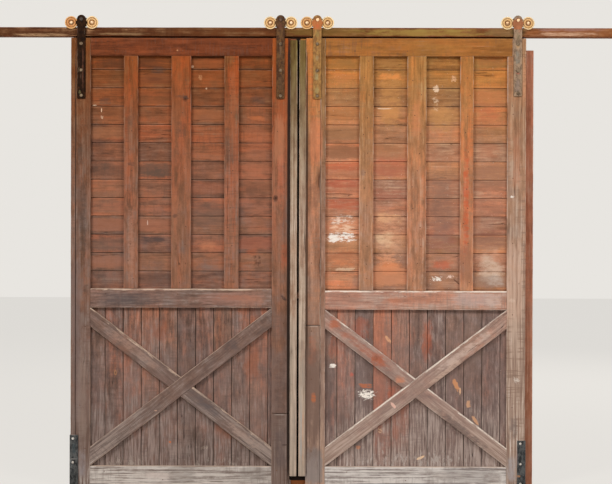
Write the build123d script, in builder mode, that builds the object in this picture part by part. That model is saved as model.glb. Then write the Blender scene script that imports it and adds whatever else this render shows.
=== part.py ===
from build123d import *
from math import asin, atan2, cos, hypot, sin, sqrt
import os

# A pair of sliding barn door leaves, closed, under one timber rail, with the rail's ledger,
# the casing round the doorway and the stops at the rail's ends.
# The origin is the middle of the ledger's back face, at half the rail's height.
# X runs to the right, Y into the wall and Z up. The wall's face is the plane Y = 0.
# "Out" is a distance from the wall's face to the front. "Across" is a distance from the
# middle of the doorway to a leaf's outer edge. A height is measured from a leaf's bottom.
# All sizes are in millimetres.

# Rail, ledger and stops
rail_half_length = 2080
rail_height = 41
rail_depth = 38
rail_arris = 2.5
stop_length = 45
stop_height = 46
stop_end_gap = 5
stop_corner = 8
wall_bolt_radius = 5.5
wall_bolt_head_radius = 12
wall_bolt_head_depth = 9
wall_bolt_end_gap = 50

# Casing round the doorway
casing_depth = 22
jamb_width = 89
head_height = 57
head_setback = 5
casing_arris = 2

# Leaves
leaf_height = 2050
opening_width = 832
leaf_gap = 8
floor_gap = 12
meeting_gap = 8
wall_clearance = 6
board_thickness = 18
frame_thickness = 20
frame_arris = 1.5
top_rail_height = 82
mid_rail_height = 87
bottom_rail_height = 87
brace_width = 69
strip_width = 33
strip_setback = 6
strip_top_gap = 8
strip_bottom_gap = 41
lap_width = 12
lap_gap = 6
lap_clearance = 1
board_pitch = 84.1
lower_board_pitch = 83.2
top_board_width = 59
joint_width = 5
bead_width = 4

# Hanger straps
strap_width = 38
strap_thickness = 6
strap_arris = 1
shoulder_width = 51
shoulder_height = 9
neck_drop = 18
head_radius = 20.5
head_rise = 35
first_bolt_drop = 27.5
second_bolt_drop = 149
last_bolt_end = 14
hanger_bolt_radius = 4
hanger_bolt_grip = 16
hanger_bolt_head_radius = 8
hanger_bolt_head_height = 4.5
bolt_clearance = 0.05

# Wheels and bogies
tread_radius = 20.5
tread_width = 24.5
flange_radius = 29
flange_thickness = 5
flange_taper = 1.5
rail_clearance = 0.3
side_clearance = 0.5
axle_spread = 47.5
axle_radius = 5
axle_clearance = 0.08
hub_radius = 12.5
rim_inner_radius = 20
face_groove_depth = 2.5
washer_radius = 9.5
washer_thickness = 1.5
axle_head_radius = 7
axle_head_height = 4
axle_nut_radius = 9
axle_nut_height = 4
bogie_thickness = 5
bogie_end_radius = 14
bogie_top_radius = 16
stud_radius = 8
pivot_radius = 6
rivet_radius = 9
rivet_height = 3.5

# Corner straps
corner_width = 39
corner_thickness = 3
corner_side_width = 36
corner_lap_thickness = 2
corner_screw_radius = 2.5
corner_screw_grip = 12
corner_screw_head_radius = 5.5
corner_screw_head_height = 2.5

# The two leaves differ a little, as hand-built ones do. Battens are listed from the meeting
# edge outwards, and a leaf's upright boards are set out from its inner stile's meeting edge.
# The left leaf's boards run on past the middle, and close the gap behind the right leaf's strip.
left = {
    "name": "left",
    "side": -1,
    "inner_stile": 82,
    "outer_stile": 68,
    "edge_strip": 22,
    "bead": 0,
    "battens": (66, 90, 65),
    "mid_rail_top": 901,
    "top_rail_lap": 0,
    "boards_start": -lap_width,
    "strip_back_gap": 0,
    "first_joint": 16,
    "bogie_gap": 4.5,
    "outer_inset": 48,
    "inner_drop": 279,
    "outer_drop": 279,
    "jamb_reveal": -5,
    "corner_height": 229,
    "corner_lap": 118,
    "corner_screws": (213, 104),
    "corner_inset": 12,
    "kerf_height": 330,
}
right = {
    "name": "right",
    "side": 1,
    "inner_stile": 89,
    "outer_stile": 85,
    "edge_strip": 0,
    "bead": 23,
    "battens": (65, 87, 61),
    "mid_rail_top": 894,
    "top_rail_lap": 23,
    "boards_start": lap_width + lap_gap,
    "strip_back_gap": lap_clearance,
    "first_joint": 61,
    "bogie_gap": 10.5,
    "outer_inset": 39,
    "inner_drop": 279,
    "outer_drop": 265,
    "jamb_reveal": 40,
    "corner_height": 209,
    "corner_lap": 37,
    "corner_screws": (196, 102, 12),
    "corner_inset": 21,
    "kerf_height": 735,
}
kerf_width = 1.5
kerf_depth = 3

# Levels from the wall's face to the front
leaf_back_out = casing_depth + wall_clearance
boards_out = leaf_back_out + board_thickness
frame_out = boards_out + frame_thickness
strap_out = frame_out + strap_thickness
flange_front_out = frame_out - side_clearance
flange_back_out = flange_front_out - flange_thickness
wheel_back_out = flange_back_out - tread_width
rail_out = flange_back_out - side_clearance
ledger_out = rail_out - rail_depth
bogie_front_out = wheel_back_out - side_clearance
bogie_back_out = bogie_front_out - bogie_thickness

# Heights above the origin
rail_top = rail_height / 2
leaf_top = -rail_height / 2 - leaf_gap
leaf_bottom = leaf_top - leaf_height
floor_level = leaf_bottom - floor_gap
jamb_top = -rail_height / 2 - head_height
axle_level = rail_top + rail_clearance + tread_radius
head_level = rail_top + head_rise

os.makedirs("parts", exist_ok=True)


def keep(builder, name):
    builder.part.label = name
    export_step(builder.part, f"parts/{name}.step")


def front_edges(builder):
    return builder.faces().sort_by(Axis.Y)[0].edges()


# The edges across a leaf: the meeting strip's two edges, the opening's two edges,
# the outer stile's outer edge and the leaf's own edge
def edges_across(leaf):
    strip_edge = meeting_gap / 2
    stile_edge = strip_edge + strip_width
    opening_start = stile_edge + leaf["inner_stile"]
    opening_end = opening_start + opening_width
    stile_end = opening_end + leaf["outer_stile"]
    return strip_edge, stile_edge, opening_start, opening_end, stile_end, stile_end + leaf["edge_strip"]


def hanger_places(leaf):
    inner = leaf["bogie_gap"] + flange_radius + axle_spread
    outer = edges_across(leaf)[-1] - leaf["outer_inset"]
    return {"inner": leaf["side"] * inner, "outer": leaf["side"] * outer}


def hanger_bolt_levels(leaf, place):
    last_drop = leaf[f"{place}_drop"] - last_bolt_end
    return [leaf_top - drop for drop in (first_bolt_drop, second_bolt_drop, last_drop)]


def wheel_places(leaf):
    places = hanger_places(leaf).values()
    return [x + shift * leaf["side"] * axle_spread for x in places for shift in (-1, 1)]


def joint_places(start, end, first, pitch):
    count = int((end - start - first) / pitch)
    return [start + first + pitch * step for step in range(count + 1)]


# Plain squared boards, each with its front arrises worn off
def make_board(name, side, across, levels, outs, arris):
    with BuildPart() as board:
        with BuildSketch(Plane.XZ.offset(outs[0])):
            with Locations((side * sum(across) / 2, sum(levels) / 2)):
                Rectangle(across[1] - across[0], levels[1] - levels[0])
        extrude(amount=outs[1] - outs[0])
        chamfer(front_edges(board), length=arris)
    keep(board, name)


# Rail and ledger, with the holes of the bolts that fix both to the wall
inner_bolt = (hanger_places(right)["inner"] - hanger_places(left)["inner"]) / 2
outer_bolt = (hanger_places(right)["outer"] - hanger_places(left)["outer"]) / 2
end_bolt = rail_half_length - wall_bolt_end_gap
wall_bolts = [inner_bolt, outer_bolt, (outer_bolt + end_bolt) / 2, end_bolt]
wall_bolt_points = [(side * x, 0) for side in (-1, 1) for x in wall_bolts]

with BuildPart() as running_rail:
    with BuildSketch(Plane.XZ.offset(ledger_out)):
        Rectangle(2 * rail_half_length, rail_height)
    extrude(amount=rail_depth)
    chamfer(front_edges(running_rail), length=rail_arris)
    with Locations(Plane.XZ.offset(rail_out)):
        with Locations(*wall_bolt_points):
            CounterBoreHole(wall_bolt_radius, wall_bolt_head_radius, wall_bolt_head_depth)
keep(running_rail, "running_rail")

with BuildPart() as rail_ledger:
    with BuildSketch(Plane.XZ):
        Rectangle(2 * rail_half_length, rail_height)
        with Locations(*wall_bolt_points):
            Circle(wall_bolt_radius, mode=Mode.SUBTRACT)
    extrude(amount=ledger_out)
keep(rail_ledger, "rail_ledger")

# Casing round the doorway, hidden behind the closed leaves but for a strip at the right
left_edge = edges_across(left)[-1]
right_edge = edges_across(right)[-1]
head_span = (head_setback - left_edge, right_edge - head_setback)
make_board("head_casing", 1, head_span, (jamb_top, -rail_height / 2), (0, casing_depth), casing_arris)
for leaf in (left, right):
    jamb_edge = edges_across(leaf)[-1] + leaf["jamb_reveal"]
    jamb_span = (jamb_edge - jamb_width, jamb_edge)
    jamb_levels = (floor_level, jamb_top)
    jamb_name = f"jamb_{leaf['name']}"
    make_board(jamb_name, leaf["side"], jamb_span, jamb_levels, (0, casing_depth), casing_arris)

# Stops on the rail's ends
for leaf in (left, right):
    stop_end = rail_half_length - stop_end_gap
    with BuildPart() as end_stop:
        with BuildSketch(Plane.XZ.offset(ledger_out)):
            with Locations((leaf["side"] * (stop_end - stop_length / 2), rail_top + stop_height / 2)):
                Rectangle(stop_length, stop_height)
        extrude(amount=rail_depth)
        top_edges = end_stop.faces().sort_by(Axis.Z)[-1].edges()
        chamfer(top_edges.filter_by(Axis.Y), length=stop_corner)
    keep(end_stop, f"end_stop_{leaf['name']}")


# The outer stile takes the outer hanger's bolts, and the corner strap's screws where the
# leaf has no edge strip. On the right leaf the top rail is let into its head.
def make_outer_stile(leaf):
    side = leaf["side"]
    start, end = edges_across(leaf)[3:5]
    bolts = [(hanger_places(leaf)["outer"], z) for z in hanger_bolt_levels(leaf, "outer")]
    with BuildPart() as outer_stile:
        with BuildSketch(Plane.XZ.offset(boards_out)):
            with Locations((side * (start + end) / 2, (leaf_bottom + leaf_top) / 2)):
                Rectangle(end - start, leaf_height)
            if leaf["top_rail_lap"]:
                lap = leaf["top_rail_lap"]
                with Locations((side * (start + lap / 2), leaf_top - top_rail_height / 2)):
                    Rectangle(lap, top_rail_height, mode=Mode.SUBTRACT)
        extrude(amount=frame_thickness)
        chamfer(front_edges(outer_stile), length=frame_arris)
        with Locations(Plane.XZ.offset(frame_out)):
            with Locations(*bolts):
                Hole(hanger_bolt_radius + bolt_clearance, depth=hanger_bolt_grip)
            if not leaf["edge_strip"]:
                with Locations(*corner_screw_points(leaf)):
                    Hole(corner_screw_radius + bolt_clearance, depth=corner_screw_grip)
    keep(outer_stile, f"{leaf['name']}_outer_stile")


# The inner stile has a saw-cut butt joint in its length. The right one has a bead run
# along it beside the opening.
def make_inner_stile(leaf):
    side = leaf["side"]
    start, end = edges_across(leaf)[1:3]
    bolts = [(hanger_places(leaf)["inner"], z) for z in hanger_bolt_levels(leaf, "inner")]
    with BuildPart() as inner_stile:
        with BuildSketch(Plane.XZ.offset(boards_out)):
            with Locations((side * (start + end) / 2, (leaf_bottom + leaf_top) / 2)):
                Rectangle(end - start, leaf_height)
        extrude(amount=frame_thickness)
        chamfer(front_edges(inner_stile), length=frame_arris)
        with BuildSketch(Plane.XZ.offset(frame_out)):
            with Locations((side * (start + end) / 2, leaf_bottom + leaf["kerf_height"])):
                Rectangle(end - start, kerf_width)
            if leaf["bead"]:
                with Locations((side * (end - leaf["bead"]), (leaf_bottom + leaf_top) / 2)):
                    Rectangle(bead_width, leaf_height)
        extrude(amount=-kerf_depth, mode=Mode.SUBTRACT)
        with Locations(Plane.XZ.offset(frame_out)):
            with Locations(*bolts):
                Hole(hanger_bolt_radius + bolt_clearance, depth=hanger_bolt_grip)
    keep(inner_stile, f"{leaf['name']}_inner_stile")


# A strip closes the left leaf's outer edge and takes its corner strap's screws
def make_edge_strip(leaf):
    start, end = edges_across(leaf)[4:6]
    with BuildPart() as edge_strip:
        with BuildSketch(Plane.XZ.offset(leaf_back_out)):
            with Locations((leaf["side"] * (start + end) / 2, (leaf_bottom + leaf_top) / 2)):
                Rectangle(end - start, leaf_height)
        extrude(amount=board_thickness + frame_thickness)
        chamfer(front_edges(edge_strip), length=frame_arris)
        with Locations(Plane.XZ.offset(frame_out)):
            with Locations(*corner_screw_points(leaf)):
                Hole(corner_screw_radius + bolt_clearance, depth=corner_screw_grip)
    keep(edge_strip, f"{leaf['name']}_edge_strip")


def make_rails(leaf):
    side, name = leaf["side"], leaf["name"]
    start, end = edges_across(leaf)[2:4]
    outs = (boards_out, frame_out)
    mid_top = leaf_bottom + leaf["mid_rail_top"]
    top_span = (start, end + leaf["top_rail_lap"])
    make_board(f"{name}_top_rail", side, top_span, (leaf_top - top_rail_height, leaf_top), outs, frame_arris)
    make_board(f"{name}_mid_rail", side, (start, end), (mid_top - mid_rail_height, mid_top), outs, frame_arris)
    bottom_levels = (leaf_bottom, leaf_bottom + bottom_rail_height)
    make_board(f"{name}_bottom_rail", side, (start, end), bottom_levels, outs, frame_arris)


# Three battens stand over the upper panel, with four equal spaces between and beside them
def make_battens(leaf):
    start = edges_across(leaf)[2]
    widths = leaf["battens"]
    space = (opening_width - sum(widths)) / (len(widths) + 1)
    levels = (leaf_bottom + leaf["mid_rail_top"], leaf_top - top_rail_height)
    for place, width in zip(("inner", "middle", "outer"), widths):
        start += space
        name = f"{leaf['name']}_{place}_batten"
        make_board(name, leaf["side"], (start, start + width), levels, (boards_out, frame_out), frame_arris)
        start += width


# The lower panel's cross: one brace runs through from the bottom left corner to the top
# right one, and two halves of the other butt against it. All ends are cut upright to
# stand against the stiles, so an end is as tall as the brace's width over the slope's cosine.
def make_braces(leaf):
    ends = [leaf["side"] * across for across in edges_across(leaf)[2:4]]
    x_low, x_high = min(ends), max(ends)
    z_low = leaf_bottom + bottom_rail_height
    z_high = leaf_bottom + leaf["mid_rail_top"] - mid_rail_height
    diagonal = hypot(opening_width, z_high - z_low)
    slope = atan2(z_high - z_low, opening_width) - asin(brace_width / diagonal)
    end_height = brace_width / cos(slope)
    uphill = Vector(-sin(slope), 0, cos(slope))

    with BuildPart() as long_brace:
        with BuildSketch(Plane.XZ.offset(boards_out)):
            with BuildLine():
                Polyline(
                    (x_low, z_low),
                    (x_high, z_high - end_height),
                    (x_high, z_high),
                    (x_low, z_low + end_height),
                    close=True,
                )
            make_face()
        extrude(amount=frame_thickness)
        chamfer(front_edges(long_brace), length=frame_arris)
    keep(long_brace, f"{leaf['name']}_long_brace")

    upper_cut = Plane(origin=(x_low, 0, z_low + end_height), z_dir=uphill)
    lower_cut = Plane(origin=(x_low, 0, z_low), z_dir=uphill)
    for place, cut, side in (("upper", upper_cut, Keep.TOP), ("lower", lower_cut, Keep.BOTTOM)):
        with BuildPart() as short_brace:
            with BuildSketch(Plane.XZ.offset(boards_out)):
                with BuildLine():
                    Polyline(
                        (x_low, z_high),
                        (x_low, z_high - end_height),
                        (x_high, z_low),
                        (x_high, z_low + end_height),
                        close=True,
                    )
                make_face()
            extrude(amount=frame_thickness)
            split(bisect_by=cut, keep=side)
            chamfer(front_edges(short_brace), length=frame_arris)
        keep(short_brace, f"{leaf['name']}_{place}_short_brace")


# Tongued and grooved boards lie behind the frame, level in the upper panel and upright in
# the lower one. A V groove marks each joint between two boards on the front.
def make_panels(leaf):
    side, name = leaf["side"], leaf["name"]
    start, end = leaf["boards_start"], edges_across(leaf)[4]
    meeting_level = leaf_bottom + leaf["mid_rail_top"] - mid_rail_height / 2
    groove_side = joint_width / sqrt(2)

    with BuildPart() as upper_boards:
        with BuildSketch(Plane.XZ.offset(leaf_back_out)):
            with Locations((side * (start + end) / 2, (meeting_level + leaf_top) / 2)):
                Rectangle(end - start, leaf_top - meeting_level)
        extrude(amount=board_thickness)
        drops = joint_places(0, leaf_top - meeting_level, top_board_width, board_pitch)
        with BuildSketch(Plane.YZ.offset(side * (start + end) / 2)):
            with Locations(*[(-boards_out, leaf_top - drop) for drop in drops]):
                Rectangle(groove_side, groove_side, rotation=45)
        extrude(amount=(end - start) / 2, both=True, mode=Mode.SUBTRACT)
    keep(upper_boards, f"{name}_upper_boards")

    with BuildPart() as lower_boards:
        with BuildSketch(Plane.XZ.offset(leaf_back_out)):
            with Locations((side * (start + end) / 2, (leaf_bottom + meeting_level) / 2)):
                Rectangle(end - start, meeting_level - leaf_bottom)
        extrude(amount=board_thickness)
        places = joint_places(edges_across(leaf)[1], end, leaf["first_joint"], lower_board_pitch)
        with BuildSketch(Plane.XY.offset(leaf_bottom)):
            with Locations(*[(side * across, -boards_out) for across in places]):
                Rectangle(groove_side, groove_side, rotation=45)
        extrude(amount=meeting_level - leaf_bottom, mode=Mode.SUBTRACT)
    keep(lower_boards, f"{name}_lower_boards")


def make_meeting_strip(leaf):
    span = edges_across(leaf)[0:2]
    levels = (leaf_bottom + strip_bottom_gap, leaf_top - strip_top_gap)
    outs = (boards_out + leaf["strip_back_gap"], frame_out - strip_setback)
    make_board(f"{leaf['name']}_meeting_strip", leaf["side"], span, levels, outs, frame_arris)


# A hanger strap is one flat bar. Its head is round and has two shoulders at the height of
# the axles, and a hole takes the bogie's pivot.
def make_hanger(leaf, place):
    x = hanger_places(leaf)[place]
    foot_level = leaf_top - leaf[f"{place}_drop"]
    bolts = [(x, z) for z in hanger_bolt_levels(leaf, place)]
    with BuildPart() as hanger:
        with BuildSketch(Plane.XZ.offset(frame_out)) as outline:
            with Locations((x, (foot_level + head_level) / 2)):
                Rectangle(strap_width, head_level - foot_level)
            with Locations((x, head_level)):
                Circle(head_radius)
            with BuildLine():
                Polyline(
                    (x - strap_width / 2, axle_level - neck_drop),
                    (x - shoulder_width / 2, axle_level - shoulder_height / 2),
                    (x - shoulder_width / 2, axle_level + shoulder_height / 2),
                    (x, head_level + head_radius / 2),
                    (x + shoulder_width / 2, axle_level + shoulder_height / 2),
                    (x + shoulder_width / 2, axle_level - shoulder_height / 2),
                    (x + strap_width / 2, axle_level - neck_drop),
                    close=True,
                )
            make_face()
            fillet(outline.vertices().sort_by(Axis.Y)[:2], radius=strap_width / 6)
            with Locations((x, head_level)):
                Circle(pivot_radius + bolt_clearance, mode=Mode.SUBTRACT)
            with Locations(*bolts):
                Circle(hanger_bolt_radius + bolt_clearance, mode=Mode.SUBTRACT)
        extrude(amount=strap_thickness)
        rim = hanger.faces().sort_by(Axis.Y)[0].outer_wire().edges()
        chamfer(rim, length=strap_arris)
    keep(hanger, f"{leaf['name']}_{place}_hanger")


# A bogie is a forged plate behind its two wheels. A stud stands out from it over the rail
# to the hanger's back, and its riveted pivot goes through the hanger's head.
def make_bogie(leaf, place):
    x = hanger_places(leaf)[place]
    axles = [(x - axle_spread, axle_level), (x + axle_spread, axle_level)]
    with BuildPart() as bogie:
        with BuildSketch(Plane.XZ.offset(bogie_back_out)):
            with Locations(*axles):
                Circle(bogie_end_radius)
            with Locations((x, head_level)):
                Circle(bogie_top_radius)
            make_hull()
            with Locations(*axles):
                Circle(axle_radius + bolt_clearance, mode=Mode.SUBTRACT)
        extrude(amount=bogie_thickness)
        with BuildSketch(Plane.XZ.offset(bogie_front_out)):
            with Locations((x, head_level)):
                Circle(stud_radius)
        extrude(amount=frame_out - bogie_front_out)
        with BuildSketch(Plane.XZ.offset(frame_out)):
            with Locations((x, head_level)):
                Circle(pivot_radius)
        extrude(amount=strap_thickness)
        with BuildSketch(Plane.XZ.offset(strap_out)):
            with Locations((x, head_level)):
                Circle(rivet_radius)
        extrude(amount=rivet_height)
        fillet(bogie.faces().sort_by(Axis.Y)[0].edges(), radius=rivet_height * 0.8)
    keep(bogie, f"{leaf['name']}_{place}_bogie")


# A wheel has a flange in front of the rail, a flat tread on top of it, and a ring-shaped
# hollow in its face between the hub and the rim.
def make_wheel(x, name):
    bore = axle_radius + axle_clearance
    front, back = -flange_front_out, -wheel_back_out
    flange_back = -flange_back_out
    with BuildPart() as wheel:
        with BuildSketch(Plane(origin=(x, 0, axle_level), x_dir=(1, 0, 0), z_dir=(0, 0, 1))):
            with BuildLine():
                Polyline(
                    (bore, front),
                    (hub_radius, front),
                    (hub_radius + face_groove_depth / 2, front + face_groove_depth),
                    (rim_inner_radius - face_groove_depth / 2, front + face_groove_depth),
                    (rim_inner_radius, front),
                    (flange_radius - flange_taper, front),
                    (flange_radius, front + flange_taper),
                    (flange_radius, flange_back - flange_taper),
                    (tread_radius, flange_back),
                    (tread_radius, back),
                    (bore, back),
                    close=True,
                )
            make_face()
        revolve(axis=Axis((x, 0, axle_level), (0, 1, 0)))
    keep(wheel, name)


# Each axle bolt has a washer over the wheel's hub, a round head, and a nut behind the bogie
def make_axle_bolts(leaf):
    axles = [(x, axle_level) for x in wheel_places(leaf)]
    washer_out = flange_front_out + axle_clearance
    with BuildPart() as axle_bolts:
        with BuildSketch(Plane.XZ.offset(bogie_back_out)):
            with Locations(*axles):
                Circle(axle_radius)
        extrude(amount=washer_out - bogie_back_out)
        with BuildSketch(Plane.XZ.offset(washer_out)):
            with Locations(*axles):
                Circle(washer_radius)
        extrude(amount=washer_thickness)
        with BuildSketch(Plane.XZ.offset(washer_out + washer_thickness)):
            with Locations(*axles):
                Circle(axle_head_radius)
        extrude(amount=axle_head_height)
        head_rims = axle_bolts.faces().group_by(Axis.Y)[0].edges()
        chamfer(head_rims, length=axle_head_height / 3)
        with BuildSketch(Plane.XZ.offset(bogie_back_out - axle_nut_height)):
            with Locations(*axles):
                RegularPolygon(axle_nut_radius, 6)
        extrude(amount=axle_nut_height)
    keep(axle_bolts, f"{leaf['name']}_axle_bolts")


# Coach bolts hold the hangers, with hexagonal heads on the straps
def make_hanger_bolts(leaf):
    points = [(x, z) for place, x in hanger_places(leaf).items() for z in hanger_bolt_levels(leaf, place)]
    with BuildPart() as hanger_bolts:
        with BuildSketch(Plane.XZ.offset(strap_out)):
            with Locations(*points):
                RegularPolygon(hanger_bolt_head_radius, 6)
        extrude(amount=hanger_bolt_head_height)
        head_rims = hanger_bolts.faces().group_by(Axis.Y)[0].edges()
        chamfer(head_rims, length=hanger_bolt_head_height / 4)
        with BuildSketch(Plane.XZ.offset(frame_out - hanger_bolt_grip)):
            with Locations(*points):
                Circle(hanger_bolt_radius)
        extrude(amount=strap_out - frame_out + hanger_bolt_grip)
    keep(hanger_bolts, f"{leaf['name']}_hanger_bolts")


# An angle of thin steel goes round the foot of each leaf's outer edge, with a second
# plate lapped over the lower part of its front
def corner_screw_points(leaf):
    x = leaf["side"] * (edges_across(leaf)[-1] - leaf["corner_inset"])
    return [(x, leaf_bottom + height) for height in leaf["corner_screws"]]


def corner_screw_seat(leaf, level):
    lapped = level < leaf_bottom + leaf["corner_lap"]
    return frame_out + corner_thickness + (corner_lap_thickness if lapped else 0)


def make_corner_strap(leaf):
    side = leaf["side"]
    edge = edges_across(leaf)[-1]
    outer = edge + corner_thickness
    front = frame_out + corner_thickness
    with BuildPart() as corner_strap:
        with BuildSketch(Plane.XY.offset(leaf_bottom)):
            with Locations((side * (outer - corner_width / 2), -frame_out - corner_thickness / 2)):
                Rectangle(corner_width, corner_thickness)
            with Locations((side * (edge + corner_thickness / 2), corner_side_width / 2 - front)):
                Rectangle(corner_thickness, corner_side_width)
        extrude(amount=leaf["corner_height"])
        with BuildSketch(Plane.XY.offset(leaf_bottom)):
            with Locations((side * (outer - corner_width / 2), -front - corner_lap_thickness / 2)):
                Rectangle(corner_width, corner_lap_thickness)
        extrude(amount=leaf["corner_lap"])
        upright = corner_strap.edges().filter_by(Axis.Z)
        fillet(upright.sort_by(Axis.X)[0 if side < 0 else -1], radius=corner_thickness / 2)
        for point in corner_screw_points(leaf):
            with Locations(Plane.XZ.offset(corner_screw_seat(leaf, point[1]))):
                with Locations(point):
                    Hole(corner_screw_radius + bolt_clearance, depth=2 * corner_width / 3)
    keep(corner_strap, f"{leaf['name']}_corner_strap")


def make_corner_screws(leaf):
    with BuildPart() as corner_screws:
        for point in corner_screw_points(leaf):
            seat = corner_screw_seat(leaf, point[1])
            with BuildSketch(Plane.XZ.offset(seat)):
                with Locations(point):
                    Circle(corner_screw_head_radius)
            extrude(amount=corner_screw_head_height)
            with BuildSketch(Plane.XZ.offset(frame_out - corner_screw_grip)):
                with Locations(point):
                    Circle(corner_screw_radius)
            extrude(amount=seat - frame_out + corner_screw_grip)
    keep(corner_screws, f"{leaf['name']}_corner_screws")


for leaf in (left, right):
    make_outer_stile(leaf)
    make_inner_stile(leaf)
    if leaf["edge_strip"]:
        make_edge_strip(leaf)
    make_rails(leaf)
    make_battens(leaf)
    make_braces(leaf)
    make_panels(leaf)
    make_meeting_strip(leaf)
    for place in ("inner", "outer"):
        make_hanger(leaf, place)
        make_bogie(leaf, place)
    for number, x in enumerate(wheel_places(leaf), start=1):
        make_wheel(x, f"{leaf['name']}_wheel_{number}")
    make_axle_bolts(leaf)
    make_hanger_bolts(leaf)
    make_corner_strap(leaf)
    make_corner_screws(leaf)
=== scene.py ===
import bmesh
import bpy
import math
import numpy as np
import random
from mathutils import Matrix, Vector


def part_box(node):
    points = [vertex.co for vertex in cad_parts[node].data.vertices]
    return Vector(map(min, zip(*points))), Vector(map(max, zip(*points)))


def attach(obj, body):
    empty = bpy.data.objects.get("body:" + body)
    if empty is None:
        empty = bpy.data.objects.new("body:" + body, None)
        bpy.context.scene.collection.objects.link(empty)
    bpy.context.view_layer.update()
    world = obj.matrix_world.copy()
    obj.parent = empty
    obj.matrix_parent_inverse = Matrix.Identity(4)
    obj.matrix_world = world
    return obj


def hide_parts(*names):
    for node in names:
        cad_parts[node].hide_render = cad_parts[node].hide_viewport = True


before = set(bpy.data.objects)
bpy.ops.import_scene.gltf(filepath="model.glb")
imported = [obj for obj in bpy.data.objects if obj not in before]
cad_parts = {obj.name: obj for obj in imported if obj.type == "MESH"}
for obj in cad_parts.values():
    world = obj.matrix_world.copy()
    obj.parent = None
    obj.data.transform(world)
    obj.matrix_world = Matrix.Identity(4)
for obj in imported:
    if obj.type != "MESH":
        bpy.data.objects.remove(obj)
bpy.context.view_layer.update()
print("frame loaded,", len(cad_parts), "nodes")

# The photograph's camera, fitted to the door's edges
cameraView = {
    "place": (0.0762, -7.066, -0.9127),
    "yaw": -0.0055,
    "pitch": -0.0070,
    "roll": 0.0027,
    "lens": 89.9,
    "sensor": 36.0,
}
photo = {"metresPerPixel": 0.00458, "middleX": 297.85, "leafBottomY": 485.6}


def fromPhoto(x, y):  # a pixel of the photograph, as a point on the door's front
    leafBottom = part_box("left_bottom_rail")[0].z
    step = photo["metresPerPixel"]
    return (x - photo["middleX"]) * step, leafBottom + (photo["leafBottomY"] - y) * step


def link(thing):
    bpy.context.scene.collection.objects.link(thing)
    return thing


def placeCamera(view):
    yaw, pitch, roll = view["yaw"], view["pitch"], view["roll"]
    level = math.cos(pitch)
    forward = Vector((math.sin(yaw) * level, math.cos(yaw) * level, math.sin(pitch)))
    right = forward.cross(Vector((0, 0, 1))).normalized()
    up = right.cross(forward)
    tiltedRight = right * math.cos(roll) + up * math.sin(roll)
    tiltedUp = up * math.cos(roll) - right * math.sin(roll)
    data = bpy.data.cameras.new("photoCamera")
    data.lens, data.sensor_width = view["lens"], view["sensor"]
    camera = link(bpy.data.objects.new("photoCamera", data))
    axes = Matrix((tiltedRight, tiltedUp, -forward)).transposed()
    camera.matrix_world = Matrix.Translation(view["place"]) @ axes.to_4x4()
    bpy.context.scene.camera = camera


placeCamera(cameraView)


def tint(red, green, blue):  # a colour as it shows on a screen, made linear for the shader
    parts = [c / 255 for c in (red, green, blue)]
    linear = [c / 12.92 if c <= 0.04045 else ((c + 0.055) / 1.055) ** 2.4 for c in parts]
    return (*linear, 1.0)


def makeLook(base, changes):  # whatever has three numbers is a colour
    look = {**base, **changes}
    for key, value in look.items():
        if isinstance(value, tuple) and len(value) == 3:
            look[key] = tint(*value)
    return look


# A mark's place and size are in the photograph's pixels. Cover, ragged and soft are how full, how
# torn and how blurred it is, and streaks how finely it is broken, across and up.
def mark(x, y, width, height, colour, strength=0.9, cover=0.75, ragged=1.6, streaks=(38, 120), soft=0, turn=0):
    step = photo["metresPerPixel"]
    across, up = streaks
    return {"at": fromPhoto(x, y), "size": (width * step / 2, height * step / 2), "colour": tint(*colour),
            "strength": strength, "cover": cover, "ragged": ragged, "streaks": (across, across, up),
            "soft": soft, "turn": turn, "squarish": max(width, height) > 13}


def stain(x, y, width, height, colour, strength=0.6, streaks=(26, 60), turn=0):  # a soft cloud
    return mark(x, y, width, height, colour, strength, 0.85, 1.8, streaks, 0.4, turn)


def wash(x, y, width, height, colour, strength=0.5, streaks=(20, 150)):  # a length that weathered on its own
    return mark(x, y, width, height, colour, strength, 1.15, 2.2, streaks, 0.4)


class Wire:  # a shader socket that can be added, multiplied and compared
    def __init__(self, paint, socket):
        self.paint, self.socket = paint, socket

    def math(self, operation, *others):
        return self.paint.node("ShaderNodeMath", {"operation": operation}, (self, *others))

    def __add__(self, other):
        return self.math("ADD", other)

    def __sub__(self, other):
        return self.math("SUBTRACT", other)

    def __mul__(self, other):
        return self.math("MULTIPLY", other)

    def __truediv__(self, other):
        return self.math("DIVIDE", other)

    def __rsub__(self, other):
        return self.paint.node("ShaderNodeMath", {"operation": "SUBTRACT"}, (other, self))

    __radd__, __rmul__ = __add__, __mul__

    def size(self):
        return self.math("ABSOLUTE")

    def held(self):
        return self.paint.node("ShaderNodeClamp", {}, (self,))


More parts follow.
